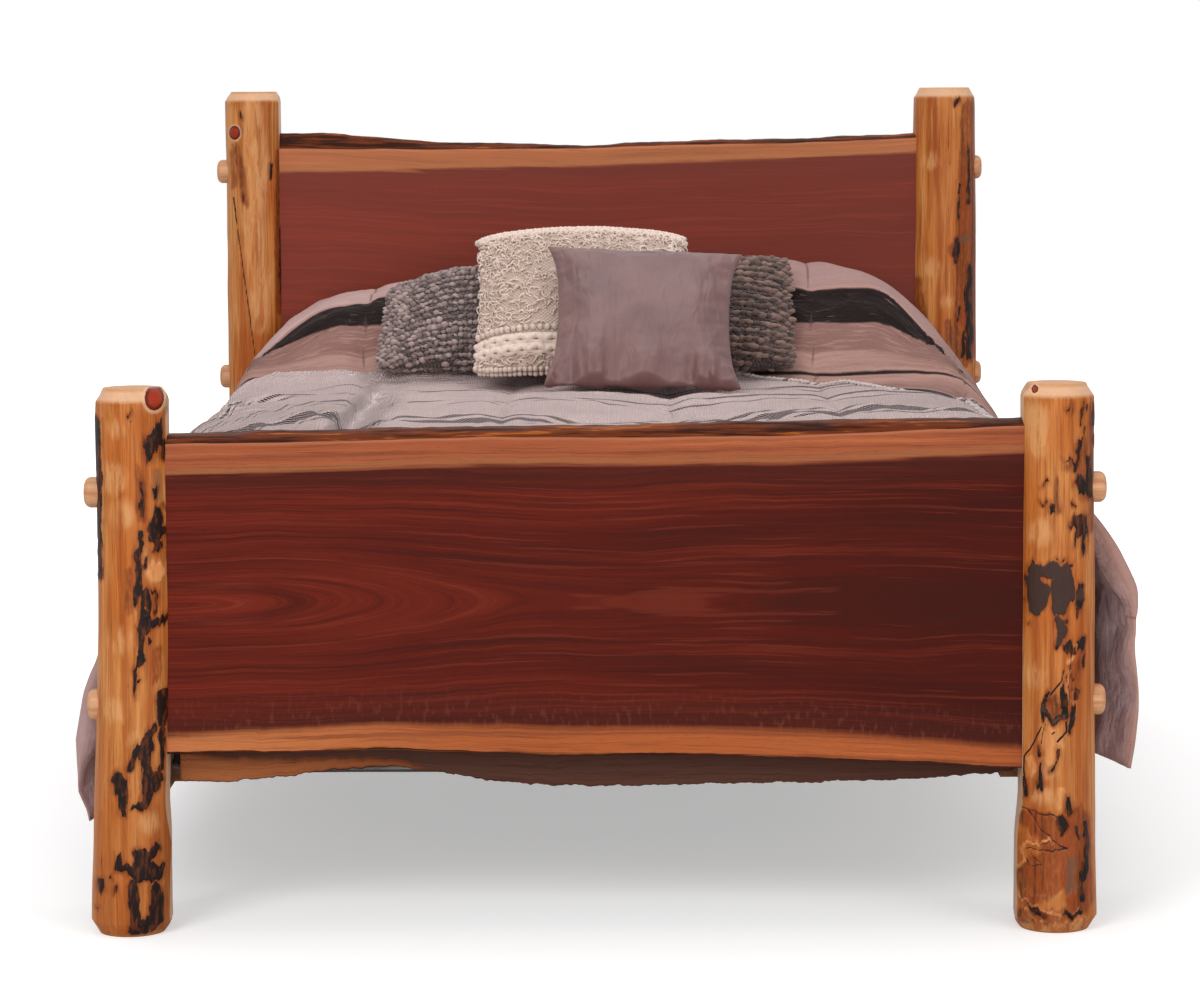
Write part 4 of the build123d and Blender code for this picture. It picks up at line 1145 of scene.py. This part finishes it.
def throw(cover, across, along):
    """The woven throw laid over the comforter, and the twisted fringe on its edges."""
    middle = cover.shape[1] // 2
    places = np.linspace(THROW_FOOT, THROW_HEAD, THROW_ROWS)
    shares = np.linspace(0, 1, THROW_COLUMNS)
    line = laid_flat(places, 0 * places)
    left = np.interp(places, *LEFT_EDGE) + 0.005 * noise(line, 12, 80, 2)
    right = np.interp(places, *RIGHT_EDGE) + 0.005 * noise(line, 14, 81, 2)
    target = left[:, None] + (right - left)[:, None] * shares
    rows = np.interp(places, along[:, middle], np.arange(len(cover)))
    step = float(across[0, middle + 1] - across[0, middle])
    grid = sample_grid(cover, rows[:, None] + 0 * target, middle + target / step)
    away = places[:, None] + 0 * target
    pull = np.interp(target, *STRIPE_PULL) * (0.3 + 0.7 * smooth(-0.25, -0.6, away))
    weft = away - blurred(pull, 3)
    flat = laid_flat(target, away)
    folds = 0.007 * noise(flat, (2.4, 8, 1), 82, 2) + 0.003 * noise(flat, (9, 26, 1), 83, 2)
    for ridge in THROW_RIDGES:
        strength = smooth(-0.3, 0.5, noise(flat, (3, 1, 1), 84 + int(100 * ridge)))
        folds = folds + 0.012 * strength * np.exp(-((weft - ridge) / 0.032) ** 2)
    folds = folds + 0.006 * np.exp(-((target + 0.36) / 0.04) ** 2) * smooth(-0.35, -0.6, away)
    settled = smooth(0.85, 0.70, np.abs(target)) * smooth(THROW_HEAD, THROW_HEAD - 0.05, away)
    grid = grid + normals_of(grid) * (0.0065 + np.maximum(folds, -0.003) * settled)[..., None]
    piece = shell("woven_throw", grid, THROW_THICKNESS, MATERIALS["throw"],
                  {"cloth": laid_flat(target, weft)})
    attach(piece, "bed")
    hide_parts("throw_blanket")
    slant = grid[np.searchsorted(places, RIGHT_EDGE[0][0]):, -1][::-1]
    fringe = strands("throw_fringe", [slant, grid[0]], MATERIALS["fringe"])
    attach(fringe, "bed")


def sample_grid(grid, rows, columns):
    """Values of a grid at fractional rows and columns."""
    rows = np.clip(rows, 0, grid.shape[0] - 1.001)
    columns = np.clip(columns, 0, grid.shape[1] - 1.001)
    r, c = rows.astype(int), columns.astype(int)
    a, b = (rows - r)[..., None], (columns - c)[..., None]
    near = grid[r, c] * (1 - b) + grid[r, c + 1] * b
    far = grid[r + 1, c] * (1 - b) + grid[r + 1, c + 1] * b
    return near * (1 - a) + far * a


def tube(path, radius, sides):
    """Points and faces of a round tube along a path; radius may vary along it."""
    path = np.asarray(path, float)
    ahead = np.gradient(path, axis=0)
    ahead /= np.linalg.norm(ahead, axis=1, keepdims=True) + 1e-9
    lead = np.array([0.31, 0.42, 0.85])
    side = np.cross(ahead, lead)
    side /= np.linalg.norm(side, axis=1, keepdims=True) + 1e-9
    up = np.cross(side, ahead)
    turn = np.linspace(0, 2 * math.pi, sides, endpoint=False)
    radius = np.broadcast_to(radius, len(path))[:, None, None]
    ring = side[:, None] * np.cos(turn)[None, :, None] + up[:, None] * np.sin(turn)[None, :, None]
    return (path[:, None] + ring * radius).reshape(-1, 3), capped_faces(len(path), sides)


def joined(name, parts, material, shades=None):
    """One object from many (points, faces) parts, with one shade for each part if given."""
    faces, start = [], 0
    for part_points, part_faces in parts:
        faces += [[start + i for i in face] for face in part_faces]
        start += len(part_points)
    points = np.concatenate([part_points for part_points, _ in parts])
    attributes = {}
    if shades:
        attributes["shade"] = np.repeat(shades, [len(part_points) for part_points, _ in parts])
    return new_object(name, points, faces, material, attributes)


def strands(name, edges, material):
    """Short twisted tassels standing out sideways from cloth edges, each two cords in a twist."""
    draw = np.random.default_rng(91)
    upward = np.array([0, 0, 1.0])
    steps = np.linspace(0, 1, 7)[:, None]
    parts, shades = [], []
    for edge in edges:
        run = run_of(edge)
        for place in np.arange(0.006, run[-1], 0.0115):
            root = on_line(edge, run, place)
            ahead = on_line(edge, run, place + 0.01) - root
            ahead /= np.linalg.norm(ahead) + 1e-9
            out = np.cross(ahead, -upward)
            out = out / np.linalg.norm(out) + ahead * draw.uniform(0.4, 1.2)
            length = draw.uniform(0.026, 0.042)
            drop = 0.003 - 0.008 * steps ** 1.5 + 0.002 * draw.uniform(-1, 1) * np.sin(3 * steps)
            core = root + out * length * (steps - 0.15) + upward * drop
            # About one tassel in eight takes the darker yarn colour, as painted shadow among the
            # tassels
            dark = float(draw.uniform() < 0.12)
            for half in (0, math.pi):
                swirl = half + steps * 9
                turned = ahead * np.cos(swirl) * 0.0023 + upward * np.sin(swirl) * 0.0023
                parts.append(tube(core + turned, 0.0028 * (1.15 - 0.5 * steps[:, 0]), 5))
                shades.append(dark)
    return joined(name, parts, material, shades)


def rounded_outline(half_x, half_y, radius, count):
    """Points round a rounded rectangle, evenly spaced, starting at +X."""
    turn = np.linspace(0, 2 * math.pi, 20 * count, endpoint=False)
    circle = np.stack([np.cos(turn), np.sin(turn)], -1)
    line = np.sign(circle) * (half_x - radius, half_y - radius) + radius * circle
    line = np.concatenate([line, line[:1]])
    run = run_of(line)
    return on_line(line, run, np.linspace(0, run[-1], count, endpoint=False))


def soft_box(node, name, material, corner, edge, bulge, panel, seed):
    """An upholstered block in place of its CAD node: bulging sides, shaped panels and tape edges.

    corner rounds its outline and edge its rims, bulge is how far the sides stand out at
    mid-height, and panel(x, y) lifts the top and bottom.
    """
    low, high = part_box(node)
    centre, half = (low + high) / 2, (high - low) / 2
    around = 220
    upper = [(0.0, z) for z in np.linspace(0, half.z - edge, 8)]
    upper += [(edge * (1 - math.cos(turn)), half.z - edge * (1 - math.sin(turn)))
              for turn in np.linspace(0, math.pi / 2, 7)[1:]]
    upper += [(edge + (half.x - edge) * share, half.z)
              for share in np.linspace(0, 0.98, 22)[1:] ** 1.3]
    points = []
    for inset, z in [(inset, -z) for inset, z in reversed(upper)] + upper[1:]:
        shrink = inset + bulge * min(1, (z / half.z) ** 2)
        radius = max(corner - shrink, 0.004)
        x, y = rounded_outline(half.x - shrink, half.y - shrink, radius, around).T
        inner = smooth(edge * 0.6, edge * 1.4, inset)
        lift = (panel(x, y) - 0.006) * inner * math.copysign(1, z)
        points.append(np.stack([centre.x + x, centre.y + y, centre.z + z + lift], -1))
    points = np.array(points)
    points[..., :2] += (0.002 * noise(points, (7, 7, 20), seed, 2))[..., None]
    piece = new_object(name, points, capped_faces(len(points), around), material)
    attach(piece, "bed")
    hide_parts(node)
    x, y = rounded_outline(half.x - bulge - edge * 0.04, half.y - bulge - edge * 0.04, corner,
                           around).T
    cords = []
    for height in (half.z - edge * 0.7, edge * 0.7 - half.z):
        loop = np.stack([centre.x + x, centre.y + y, centre.z + height + 0 * x], -1)
        cords.append(tube(np.concatenate([loop, loop[:1]]), 0.0045, 8))
    cord = joined(name + "_tape_edges", cords, MATERIALS["tape"])
    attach(cord, "bed")


def sleeping_pillow(node, name):
    """A bed pillow in place of its CAD node, following that node's height under the comforter."""
    tree = tree_of(node)
    low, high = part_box(node)
    centre, half = (low + high) / 2, (high - low) / 2
    share = np.sin(np.linspace(-math.pi / 2, math.pi / 2, 41))
    u, v = np.meshgrid(share, share)
    x = centre.x + half.x * u * (1 - 0.03 * (1 - v ** 4))
    y = centre.y + half.y * v * (1 - 0.03 * (1 - u ** 4))
    top, bottom = np.zeros_like(x), np.zeros_like(x)
    for cell in np.ndindex(x.shape):
        spot = (0.97 * x[cell] + 0.03 * centre.x, 0.97 * y[cell] + 0.03 * centre.y)
        top[cell] = tree.ray_cast(Vector((*spot, high.z + 1)), Vector((0, 0, -1)))[0].z
        bottom[cell] = tree.ray_cast(Vector((*spot, low.z - 1)), Vector((0, 0, 1)))[0].z
    top = np.maximum(left_crest(x, y, top, 0.045), bottom + 0.02)
    closed = ((1 - u ** 2) * (1 - v ** 2)) ** 0.25
    middle = (top + bottom) / 2
    front = np.stack([x, y, middle + (top - middle) * 0.96 * closed], -1)
    back = np.stack([x, y, middle + (bottom - middle) * 0.98 * closed], -1)
    points, faces, _, _ = sewn(front, back)
    piece = new_object(name, points, faces, MATERIALS["cotton"])
    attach(piece, "bed")
    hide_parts(node)


# ---------------------------------------------------------------- loose pillows

LEAN = math.radians(42)
SLOPE_UP = np.array([0, math.cos(LEAN), math.sin(LEAN)])
SLOPE_OUT = np.array([0, -math.sin(LEAN), math.cos(LEAN)])
PILLOW_CELLS = 61
SETTLING_FRAMES = 20
# Share of its CAD node's thickness that a pillow has between its stitches
PLUMPNESS = 0.86


def pillow_place(node):
    """Centre and size of a loose pillow's CAD node in the slope's own directions."""
    points = np.array([v.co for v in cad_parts[node].data.vertices])
    local = np.stack([points[:, 0], points @ SLOPE_UP, points @ SLOPE_OUT], -1)
    low, high = local.min(0), local.max(0)
    return (low + high) / 2, high - low


def to_bed(local, centre, tip):
    """Points in a pillow's flat frame put on the comforter's slope, tipped sideways by tip."""
    x = local[..., 0] * math.cos(tip) - local[..., 1] * math.sin(tip) + centre[0]
    y = local[..., 0] * math.sin(tip) + local[..., 1] * math.cos(tip) + centre[1]
    z = local[..., 2] + centre[2]
    return np.stack([x, 0 * x, 0 * x], -1) + y[..., None] * SLOPE_UP + z[..., None] * SLOPE_OUT


def pillow_panels(size, pull, corner_keep, seed, gather, form):
    """Front and back panels of a pillow lying flat, sewn along a rim with sides that pull in.

    pull is how far its left and right sides pull in between the corners, and then its other two.
    form is how far the corners round off, how much lower its left top corner sags, how far its
    lower edge is pushed up and how far its top edge arches, as shares of its size.
    """
    rounding, sag, push, crest = form
    share = np.sin(np.linspace(-math.pi / 2, math.pi / 2, PILLOW_CELLS))
    share = 0.35 * share + 0.65 * np.linspace(-1, 1, PILLOW_CELLS)
    u, v = np.meshgrid(share, share)
    inset = 1 - pull[0] * (1 - np.abs(v) ** corner_keep)
    rise = 1 - pull[1] * (1 - np.abs(u) ** corner_keep)
    inset, rise = inset - rounding * v ** 6, rise - rounding * u ** 6
    x, y = size[0] / 2 * u * inset, size[1] / 2 * v * rise
    x = x + 0.3 * size[0] * sag * np.maximum(0, -u) * (v + 1) / 2
    y = y - size[1] * sag * np.maximum(0, -u) ** 1.4 * (v + 1) / 2 + size[1] * push * (1 - v) / 2
    y = y + size[1] * crest * (0.3 - u ** 2) * (v + 1) / 2
    rim = np.minimum((1 - np.abs(u)) * size[0], (1 - np.abs(v)) * size[1]) / 2
    crown = ((1 - u ** 2) * (1 - v ** 2)) ** 0.42
    flat = laid_flat(x, y)
    above = (1 + v) * size[1] / 2
    gathers = gather * np.exp(-rim / 0.05) * noise(flat, (60, 60, 1), seed, 2)
    gathers = gathers * smooth(0, 0.008, rim)
    gathers = gathers + 3.2 * gather * np.exp(-above / 0.075) * noise(flat, (40, 6, 1), seed + 7, 2)
    gathers = gathers * smooth(0, 0.01, rim)
    dents = 0.004 * noise(flat, (9, 9, 1), seed + 1, 2) * crown
    front = np.stack([x, y, size[2] / 2 * crown + gathers + dents], -1)
    back = np.stack([x, y, -size[2] / 2 * crown - gathers + dents], -1)
    return front, back, u, v


def sewn(front, back):
    """Points and faces of two panels that share their rim, and where each panel's points went."""
    cells = front.shape[0]
    index = np.arange(cells * cells).reshape(cells, cells)
    is_rim = np.zeros((cells, cells), bool)
    is_rim[0], is_rim[-1], is_rim[:, 0], is_rim[:, -1] = True, True, True, True
    behind = index.copy()
    behind[~is_rim] = cells * cells + np.arange((~is_rim).sum())
    points = np.concatenate([front.reshape(-1, 3), back[~is_rim]])
    quads = grid_faces(cells, cells)
    faces = quads.tolist() + behind.ravel()[quads[:, ::-1]].tolist()
    return points, faces, index, behind


def blown_up(points, faces, pressure, cap):
    """The closed mesh after a short cloth simulation under pressure, no point moved past cap."""
    scene = bpy.context.scene
    piece = new_object("inflating", points, faces, MATERIALS["satin"])
    cloth = piece.modifiers.new("cloth", "CLOTH")
    cloth.settings.quality = 6
    cloth.settings.mass = 0.25
    cloth.settings.tension_stiffness = 22
    cloth.settings.compression_stiffness = 18
    cloth.settings.bending_stiffness = 0.12
    cloth.settings.use_pressure = True
    cloth.settings.uniform_pressure_force = pressure
    cloth.settings.effector_weights.gravity = 0
    cloth.point_cache.frame_end = SETTLING_FRAMES
    for step in range(1, SETTLING_FRAMES + 1):
        scene.frame_set(step)
    settled = piece.evaluated_get(bpy.context.evaluated_depsgraph_get())
    moved = np.array([v.co for v in settled.data.vertices])
    scene.frame_set(1)
    mesh = piece.data
    bpy.data.objects.remove(piece)
    bpy.data.meshes.remove(mesh)
    change = moved - points
    size = np.linalg.norm(change, axis=1, keepdims=True)
    return points + change * np.minimum(1, cap / np.maximum(size, 1e-9))


def pillow(node, name, material, pull, corner_keep, seed, gather, form, tip=0.0):
    """One loose pillow in place of its CAD node. Returns its panels in the bed's frame."""
    centre, size = pillow_place(node)
    size = size * np.array([1, 1, PLUMPNESS])
    front, back, u, v = pillow_panels(size, pull, corner_keep, seed, gather, form)
    points, faces, index, behind = sewn(front, back)
    extent = np.ptp(points, axis=0)
    points = blown_up(points, faces, 4.0, 0.010)
    points[:, :2] *= (extent / np.ptp(points, axis=0))[:2]
    placed = to_bed(points, centre, tip)
    flat = np.zeros_like(points)
    for where in (index, behind):
        flat[where, 0], flat[where, 1] = u, v
    piece = new_object(name, placed, faces, MATERIALS[material], {"panel": flat})
    smoother = piece.modifiers.new("smoother", "SUBSURF")
    smoother.levels = smoother.render_levels = 1
    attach(piece, node)
    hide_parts(node)
    return placed[index], placed[behind]


def panel_at(panel, u, v):
    """Points on a panel at shares of its width and height from -1 to 1, with outward normals."""
    cells = panel.shape[0]
    rows, columns = (v + 1) / 2 * (cells - 1), (u + 1) / 2 * (cells - 1)
    points = sample_grid(panel, rows, columns)
    return points, sample_grid(normals_of(panel), rows, columns)


def ball():
    """A small rounded bead: two poles and four rings of six points."""
    lines = [(0, 0, 1)]
    for tilt in (0.6, 1.2, 1.9, 2.5):
        for step in range(6):
            turn = math.pi * step / 3 + tilt
            across = math.sin(tilt)
            lines.append((across * math.cos(turn), across * math.sin(turn), math.cos(tilt)))
    lines.append((0, 0, -1))
    ahead = [(i + 1) % 6 for i in range(6)]
    faces = [(0, 1 + i, 1 + ahead[i]) for i in range(6)]
    for start in (1, 7, 13):
        faces += [(start + i, start + 6 + i, start + 6 + ahead[i], start + ahead[i])
                  for i in range(6)]
    faces += [(19 + ahead[i], 19 + i, 25) for i in range(6)]
    return np.array(lines), faces


def bobbles(node, name, panels, material, rows, along_count, arch, size, seed, stretch=1.3):
    """Knitted bobbles in arched rows over both panels of a pillow, with smaller beads of yarn
    between.
    """
    draw = np.random.default_rng(seed)
    bead, bead_faces = ball()
    parts, shades = [], []
    for panel, side in zip(panels, (1, -1)):
        for row in range(rows):
            base = (0.97 + 0.5 * arch) * (2 * row / (rows - 1) - 1)
            is_bobble = row % 2 == 0
            count = along_count if is_bobble else int(along_count * 1.6)
            u = np.linspace(-0.97, 0.97, count) + draw.uniform(-0.012, 0.012, count)
            v = base + arch * (0.5 - u ** 2) + draw.uniform(-0.012, 0.012, count)
            on_panel = np.abs(v) < 0.985
            points, normals = panel_at(panel, u[on_panel], v[on_panel])
            normals = normals * side
            for point, normal in zip(points, normals):
                grow = size * (draw.uniform(0.85, 1.25) if is_bobble else draw.uniform(0.5, 0.7))
                skew = draw.normal(0, 0.16, (3, 3)) + np.diag([stretch, 1.0, 0.9])
                lifted = point + normal * grow * (0.55 if is_bobble else 0.2)
                parts.append((bead @ skew * grow + lifted, bead_faces))
                # The smaller beads between the rows take darker shades, as painted shade between
                # the bobbles
                shades.append(draw.uniform(0.15, 1) if is_bobble else draw.uniform(0, 0.35))
    piece = joined(name, parts, MATERIALS[material], shades)
    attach(piece, node)


def plait(path, out, width, thick, twists):
    """Three yarns plaited along a path; out is the way the plait faces."""
    path = np.asarray(path)
    ahead = np.gradient(path, axis=0)
    ahead /= np.linalg.norm(ahead, axis=1, keepdims=True)
    side = np.cross(ahead, out)
    phase = np.linspace(0, 2 * math.pi * twists, len(path))[:, None]
    parts = []
    for strand in range(3):
        shift = phase + strand * 2 * math.pi / 3
        line = path + side * np.sin(shift) * width + out * np.cos(2 * shift) * thick * 0.7
        parts.append(tube(line, thick, 6))
    return parts


def shag(node, name, panels, material, seed):
    """Looped yarn on the cream pillow, with plaits, rows of pompons and knots at its corners."""
    draw = np.random.default_rng(seed)
    parts, shades = [], []
    for panel, side, count in zip(panels, (1, -1), (1900, 900)):
        u, v = draw.uniform(-0.985, 0.985, count), draw.uniform(-0.985, 0.985, count)
        keep = ((v < -0.83) | (v > -0.43)) & (v < 0.93)
        u, v = u[keep], v[keep]
        points, normals = panel_at(panel, u, v)
        for point, normal in zip(points, normals * side):
            lean = draw.normal(0, 1, 3)
            lean -= normal * lean.dot(normal)
            lean /= np.linalg.norm(lean)
            length, bend = draw.uniform(0.012, 0.022), draw.uniform(0.003, 0.008)
            step = np.linspace(0, 1, 6)[:, None]
            rise = bend * np.sin(math.pi * step) - 0.001
            line = point + lean * length * (step - 0.5) + normal * rise
            line = line + np.cross(normal, lean) * 0.003 * np.sin(5 * step + draw.uniform(0, 6))
            parts.append(tube(line, draw.uniform(0.0014, 0.0022), 5))
            shades.append(draw.uniform(0, 1))
    for panel, side in zip(panels, (1, -1)):
        for level, width, twists in ((-0.76, 0.0085, 5), (-0.62, 0.0085, 5), (0.955, 0.0075, 9)):
            u = np.linspace(-0.97, 0.97, 330)
            points, normals = panel_at(panel, u, level + 0.01 * np.sin(9 * u))
            outward = normals * side
            made = plait(points + outward * 0.003, outward, width, 0.8 * width, twists)
            parts += made
            shades += [0.8] * len(made)
        bead, bead_faces = ball()
        for level, size, count in ((-0.49, 0.0080, 34), (-0.985, 0.0065, 40)):
            u = np.linspace(-0.96, 0.96, count)
            points, normals = panel_at(panel, u, np.full(count, level))
            for spot in points + normals * side * 0.004:
                parts.append((bead * size * draw.uniform(0.85, 1.1) + spot, bead_faces))
                shades.append(draw.uniform(0.5, 0.9))
    for u, v in ((-1, 1), (1, 1), (-1, -1), (1, -1)):
        corner = panel_at(panels[0], np.array([u * 0.98]), np.array([v * 0.98]))[0][0]
        for _ in range(5):
            spot = corner + draw.normal(0, 0.004, 3)
            parts.append((bead * draw.uniform(0.005, 0.008) + spot, bead_faces))
            shades.append(0.7)
    piece = joined(name, parts, MATERIALS[material], shades)
    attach(piece, node)


# ---------------------------------------------------------------- camera, light and stage

CAMERA_PLACE = Vector((0.043, -7.23, 1.45))
PIXELS_WIDE = 1200
FOCAL_PIXELS = 3569
CENTRE_X, CENTRE_Y = 600, 500
VANISH_X, HORIZON_Y = 619, 97.45
SENSOR = 36.0
SHIFT_Y = -0.1
ROLL = 0.0062


def camera():
    """The photograph's camera: long lens, above the headboard's height, tilted a little down."""
    data = bpy.data.cameras.new("camera")
    data.sensor_width = SENSOR
    data.lens = FOCAL_PIXELS / PIXELS_WIDE * SENSOR
    data.shift_y = SHIFT_Y
    drop = (CENTRE_Y - HORIZON_Y + SHIFT_Y * PIXELS_WIDE) / FOCAL_PIXELS
    side = (CENTRE_X - VANISH_X) / FOCAL_PIXELS
    look = Vector((side, 1, -drop)).normalized()
    placed = bpy.data.objects.new("camera", data)
    placed.location = CAMERA_PLACE
    placed.rotation_mode = "QUATERNION"
    turn = look.to_track_quat("-Z", "Y").to_matrix().to_4x4()
    placed.rotation_quaternion = (turn @ Matrix.Rotation(-ROLL, 4, "Z")).to_quaternion()
    bpy.context.scene.collection.objects.link(placed)
    bpy.context.scene.camera = placed


def lamp(name, place, aim, size, power):
    """A soft square lamp that faces a point."""
    data = bpy.data.lights.new(name, "AREA")
    data.size = size
    data.energy = power
    placed = bpy.data.objects.new(name, data)
    placed.location = place
    placed.rotation_mode = "QUATERNION"
    placed.rotation_quaternion = (Vector(aim) - Vector(place)).to_track_quat("-Z", "Y")
    bpy.context.scene.collection.objects.link(placed)


def light_and_stage():
    """Plain soft light, a white surround and a pale floor that keeps the bed's shadow."""
    lamp("key", (-3.2, -6.5, 4.6), (0, 0, 0.6), 3.0, 228)
    lamp("front", (0.8, -7.6, 1.7), (0.2, 0, 0.6), 2.0, 56)
    lamp("fill", (4.0, -5.0, 3.0), (0, 0, 0.7), 3.5, 90)
    lamp("top", (0, 0.5, 5.5), (0, 0, 0.5), 4.0, 100)
    world = bpy.data.worlds.new("surround")
    bpy.context.scene.world = world
    world.use_nodes = True
    tree = world.node_tree
    soft = tree.nodes["Background"]
    soft.inputs["Color"].default_value = (1, 1, 1, 1)
    soft.inputs["Strength"].default_value = 0.43
    white = tree.nodes.new("ShaderNodeBackground")
    white.inputs["Strength"].default_value = 1.0
    white.inputs["Color"].default_value = (1, 1, 1, 1)
    path = tree.nodes.new("ShaderNodeLightPath")
    seen = path.outputs["Is Camera Ray"]
    for ray in ("Is Glossy Ray", "Is Transmission Ray"):
        either = tree.nodes.new("ShaderNodeMath")
        either.operation = "MAXIMUM"
        tree.links.new(seen, either.inputs[0])
        tree.links.new(path.outputs[ray], either.inputs[1])
        seen = either.outputs[0]
    blend = tree.nodes.new("ShaderNodeMixShader")
    tree.links.new(seen, blend.inputs[0])
    tree.links.new(soft.outputs[0], blend.inputs[1])
    tree.links.new(white.outputs[0], blend.inputs[2])
    tree.links.new(blend.outputs[0], tree.nodes["World Output"].inputs[0])
    s = Shader("pale_floor")
    glow = s.node("ShaderNodeLightPath", "Is Camera Ray", {})
    away = s.node("ShaderNodeVectorMath", "Value", {0: s.place()}, operation="LENGTH")
    s.put(s.surface.inputs["Emission Strength"], s.times(glow, s.step(away, 1.2, 4.5, 0.42, 1.0)))
    s.put(s.surface.inputs["Emission Color"], (1, 1, 1, 1))
    floor_points = [(-30, -30, 0), (30, -30, 0), (30, 30, 0), (-30, 30, 0)]
    floor = new_object("floor", floor_points, [(0, 1, 2, 3)], s.finish(linear(225, 225, 225), 0.9))


def dress_hard_nodes():
    """Procedural materials for the CAD nodes whose shape is right as it is."""
    names = {"_peg": "peg_wood", "side_rail": "rail_along", "ledger": "rail_along",
             "head_cross_rail": "rail_across", "plate": "steel", "screws": "steel"}
    for node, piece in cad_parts.items():
        fitting = [material for ending, material in names.items() if node.endswith(ending)]
        if node.startswith("slat_") and not fitting:
            fitting = ["rail_across"]
        if fitting:
            piece.data.materials.clear()
            piece.data.materials.append(MATERIALS[fitting[-1]])


# A sapwood width that lies outside the wood, so that no sapwood shows
NO_SAP = -0.02
# Width of the pale sapwood along the lower board's bottom edge, from its left end to its right end
LOWER_BOARD_SAP = [0.050, 0.036, 0.022, 0.008] + [NO_SAP] * 8


def quilted_top(x, y):
    """Height of a mattress panel: tufts in a diamond grid."""
    return 0.006 * np.abs(np.sin((x + y) * 13) * np.sin((x - y) * 13)) ** 0.6


def flat_top(x, y):
    """Height of a plain, slightly crowned panel."""
    return 0.003 * np.cos(x * 1.6) * np.cos(y * 1.2)


MATERIALS = make_materials()
bpy.context.scene.view_settings.view_transform = "Standard"
camera()
light_and_stage()
dress_hard_nodes()
post("foot_left_post", 11, LEFT_FOOT, 2.1, (71, 66, 65), -15)
post("foot_right_post", 23, RIGHT_FOOT, 2.1, (74, 68, 65), -1)
post("head_left_post", 37, HEAD_LEFT, 2.9, (71, 68, 66))
post("head_right_post", 41, HEAD_RIGHT, 2.9, (76, 76, 71), flat_side=0.073)
slab("footboard_slab", "footboard", [0.055, 0.047, 0.046, 0.046, 0.046],
     [0.031, 0.047, 0.047, 0.046, 0.034], 5)
# The headboard is painted paler, as painted light
slab("headboard_slab", "headboard", [0.052, 0.045, 0.04, 0.035, 0.032],
     [0.05, 0.045, 0.04, 0.045, 0.05], 8, painted_light_and_shade=0.45)
# The lower board has the footboard's shadow painted on it, and is painted darker as painted shade
slab("foot_cross_rail", "lower_board", [NO_SAP] * 5, LOWER_BOARD_SAP, 14, lower_wane=0.003,
     shade=0.85, ragged=0.0016, painted_light_and_shade=-0.48)
soft_box("mattress", "quilted_mattress", MATERIALS["ticking"], 0.075, 0.05, 0.004,
         quilted_top, 3)
soft_box("box_spring", "upholstered_box_spring", MATERIALS["spring_cloth"], 0.04, 0.018,
         0.001, flat_top, 4)
sleeping_pillow("left_sleeping_pillow", "left_bed_pillow")
sleeping_pillow("right_sleeping_pillow", "right_bed_pillow")
cover, cover_across, cover_along = cover_surface()
cover = comforter(cover, cover_across, cover_along)
throw(cover, cover_across, cover_along)
pillow("grey_pillow", "grey_satin_pillow", "satin", (0.09, 0.0), 2.2, 51, 0.005,
       form=(-0.02, -0.04, 0.0, 0.01), tip=-0.03)
cream = pillow("cream_pillow", "cream_shaggy_pillow", "cream_ground", (0.03, 0.03),
               4, 52, 0.001, form=(0.045, 0.0, 0.03, 0.06))
shag("cream_pillow", "cream_shag", cream, "cream_yarn", 53)
left_knit = pillow("left_knit_pillow", "left_bobble_pillow", "grey_ground",
                   (0.02, 0.02), 5, 54, 0.001, form=(0.05, 0.16, 0.04, 0.03))
bobbles("left_knit_pillow", "left_bobbles", left_knit, "grey_yarn", 43, 42, 0.34,
        0.0054, 55)
right_knit = pillow("right_knit_pillow", "right_knit_cushion", "brown_ground",
                    (0.02, 0.02), 5, 56, 0.001, form=(0.05, 0.0, 0.03, 0.0))
bobbles("right_knit_pillow", "right_bobbles", right_knit, "brown_yarn", 33, 30, 0.08,
        0.0062, 57, 1.7)
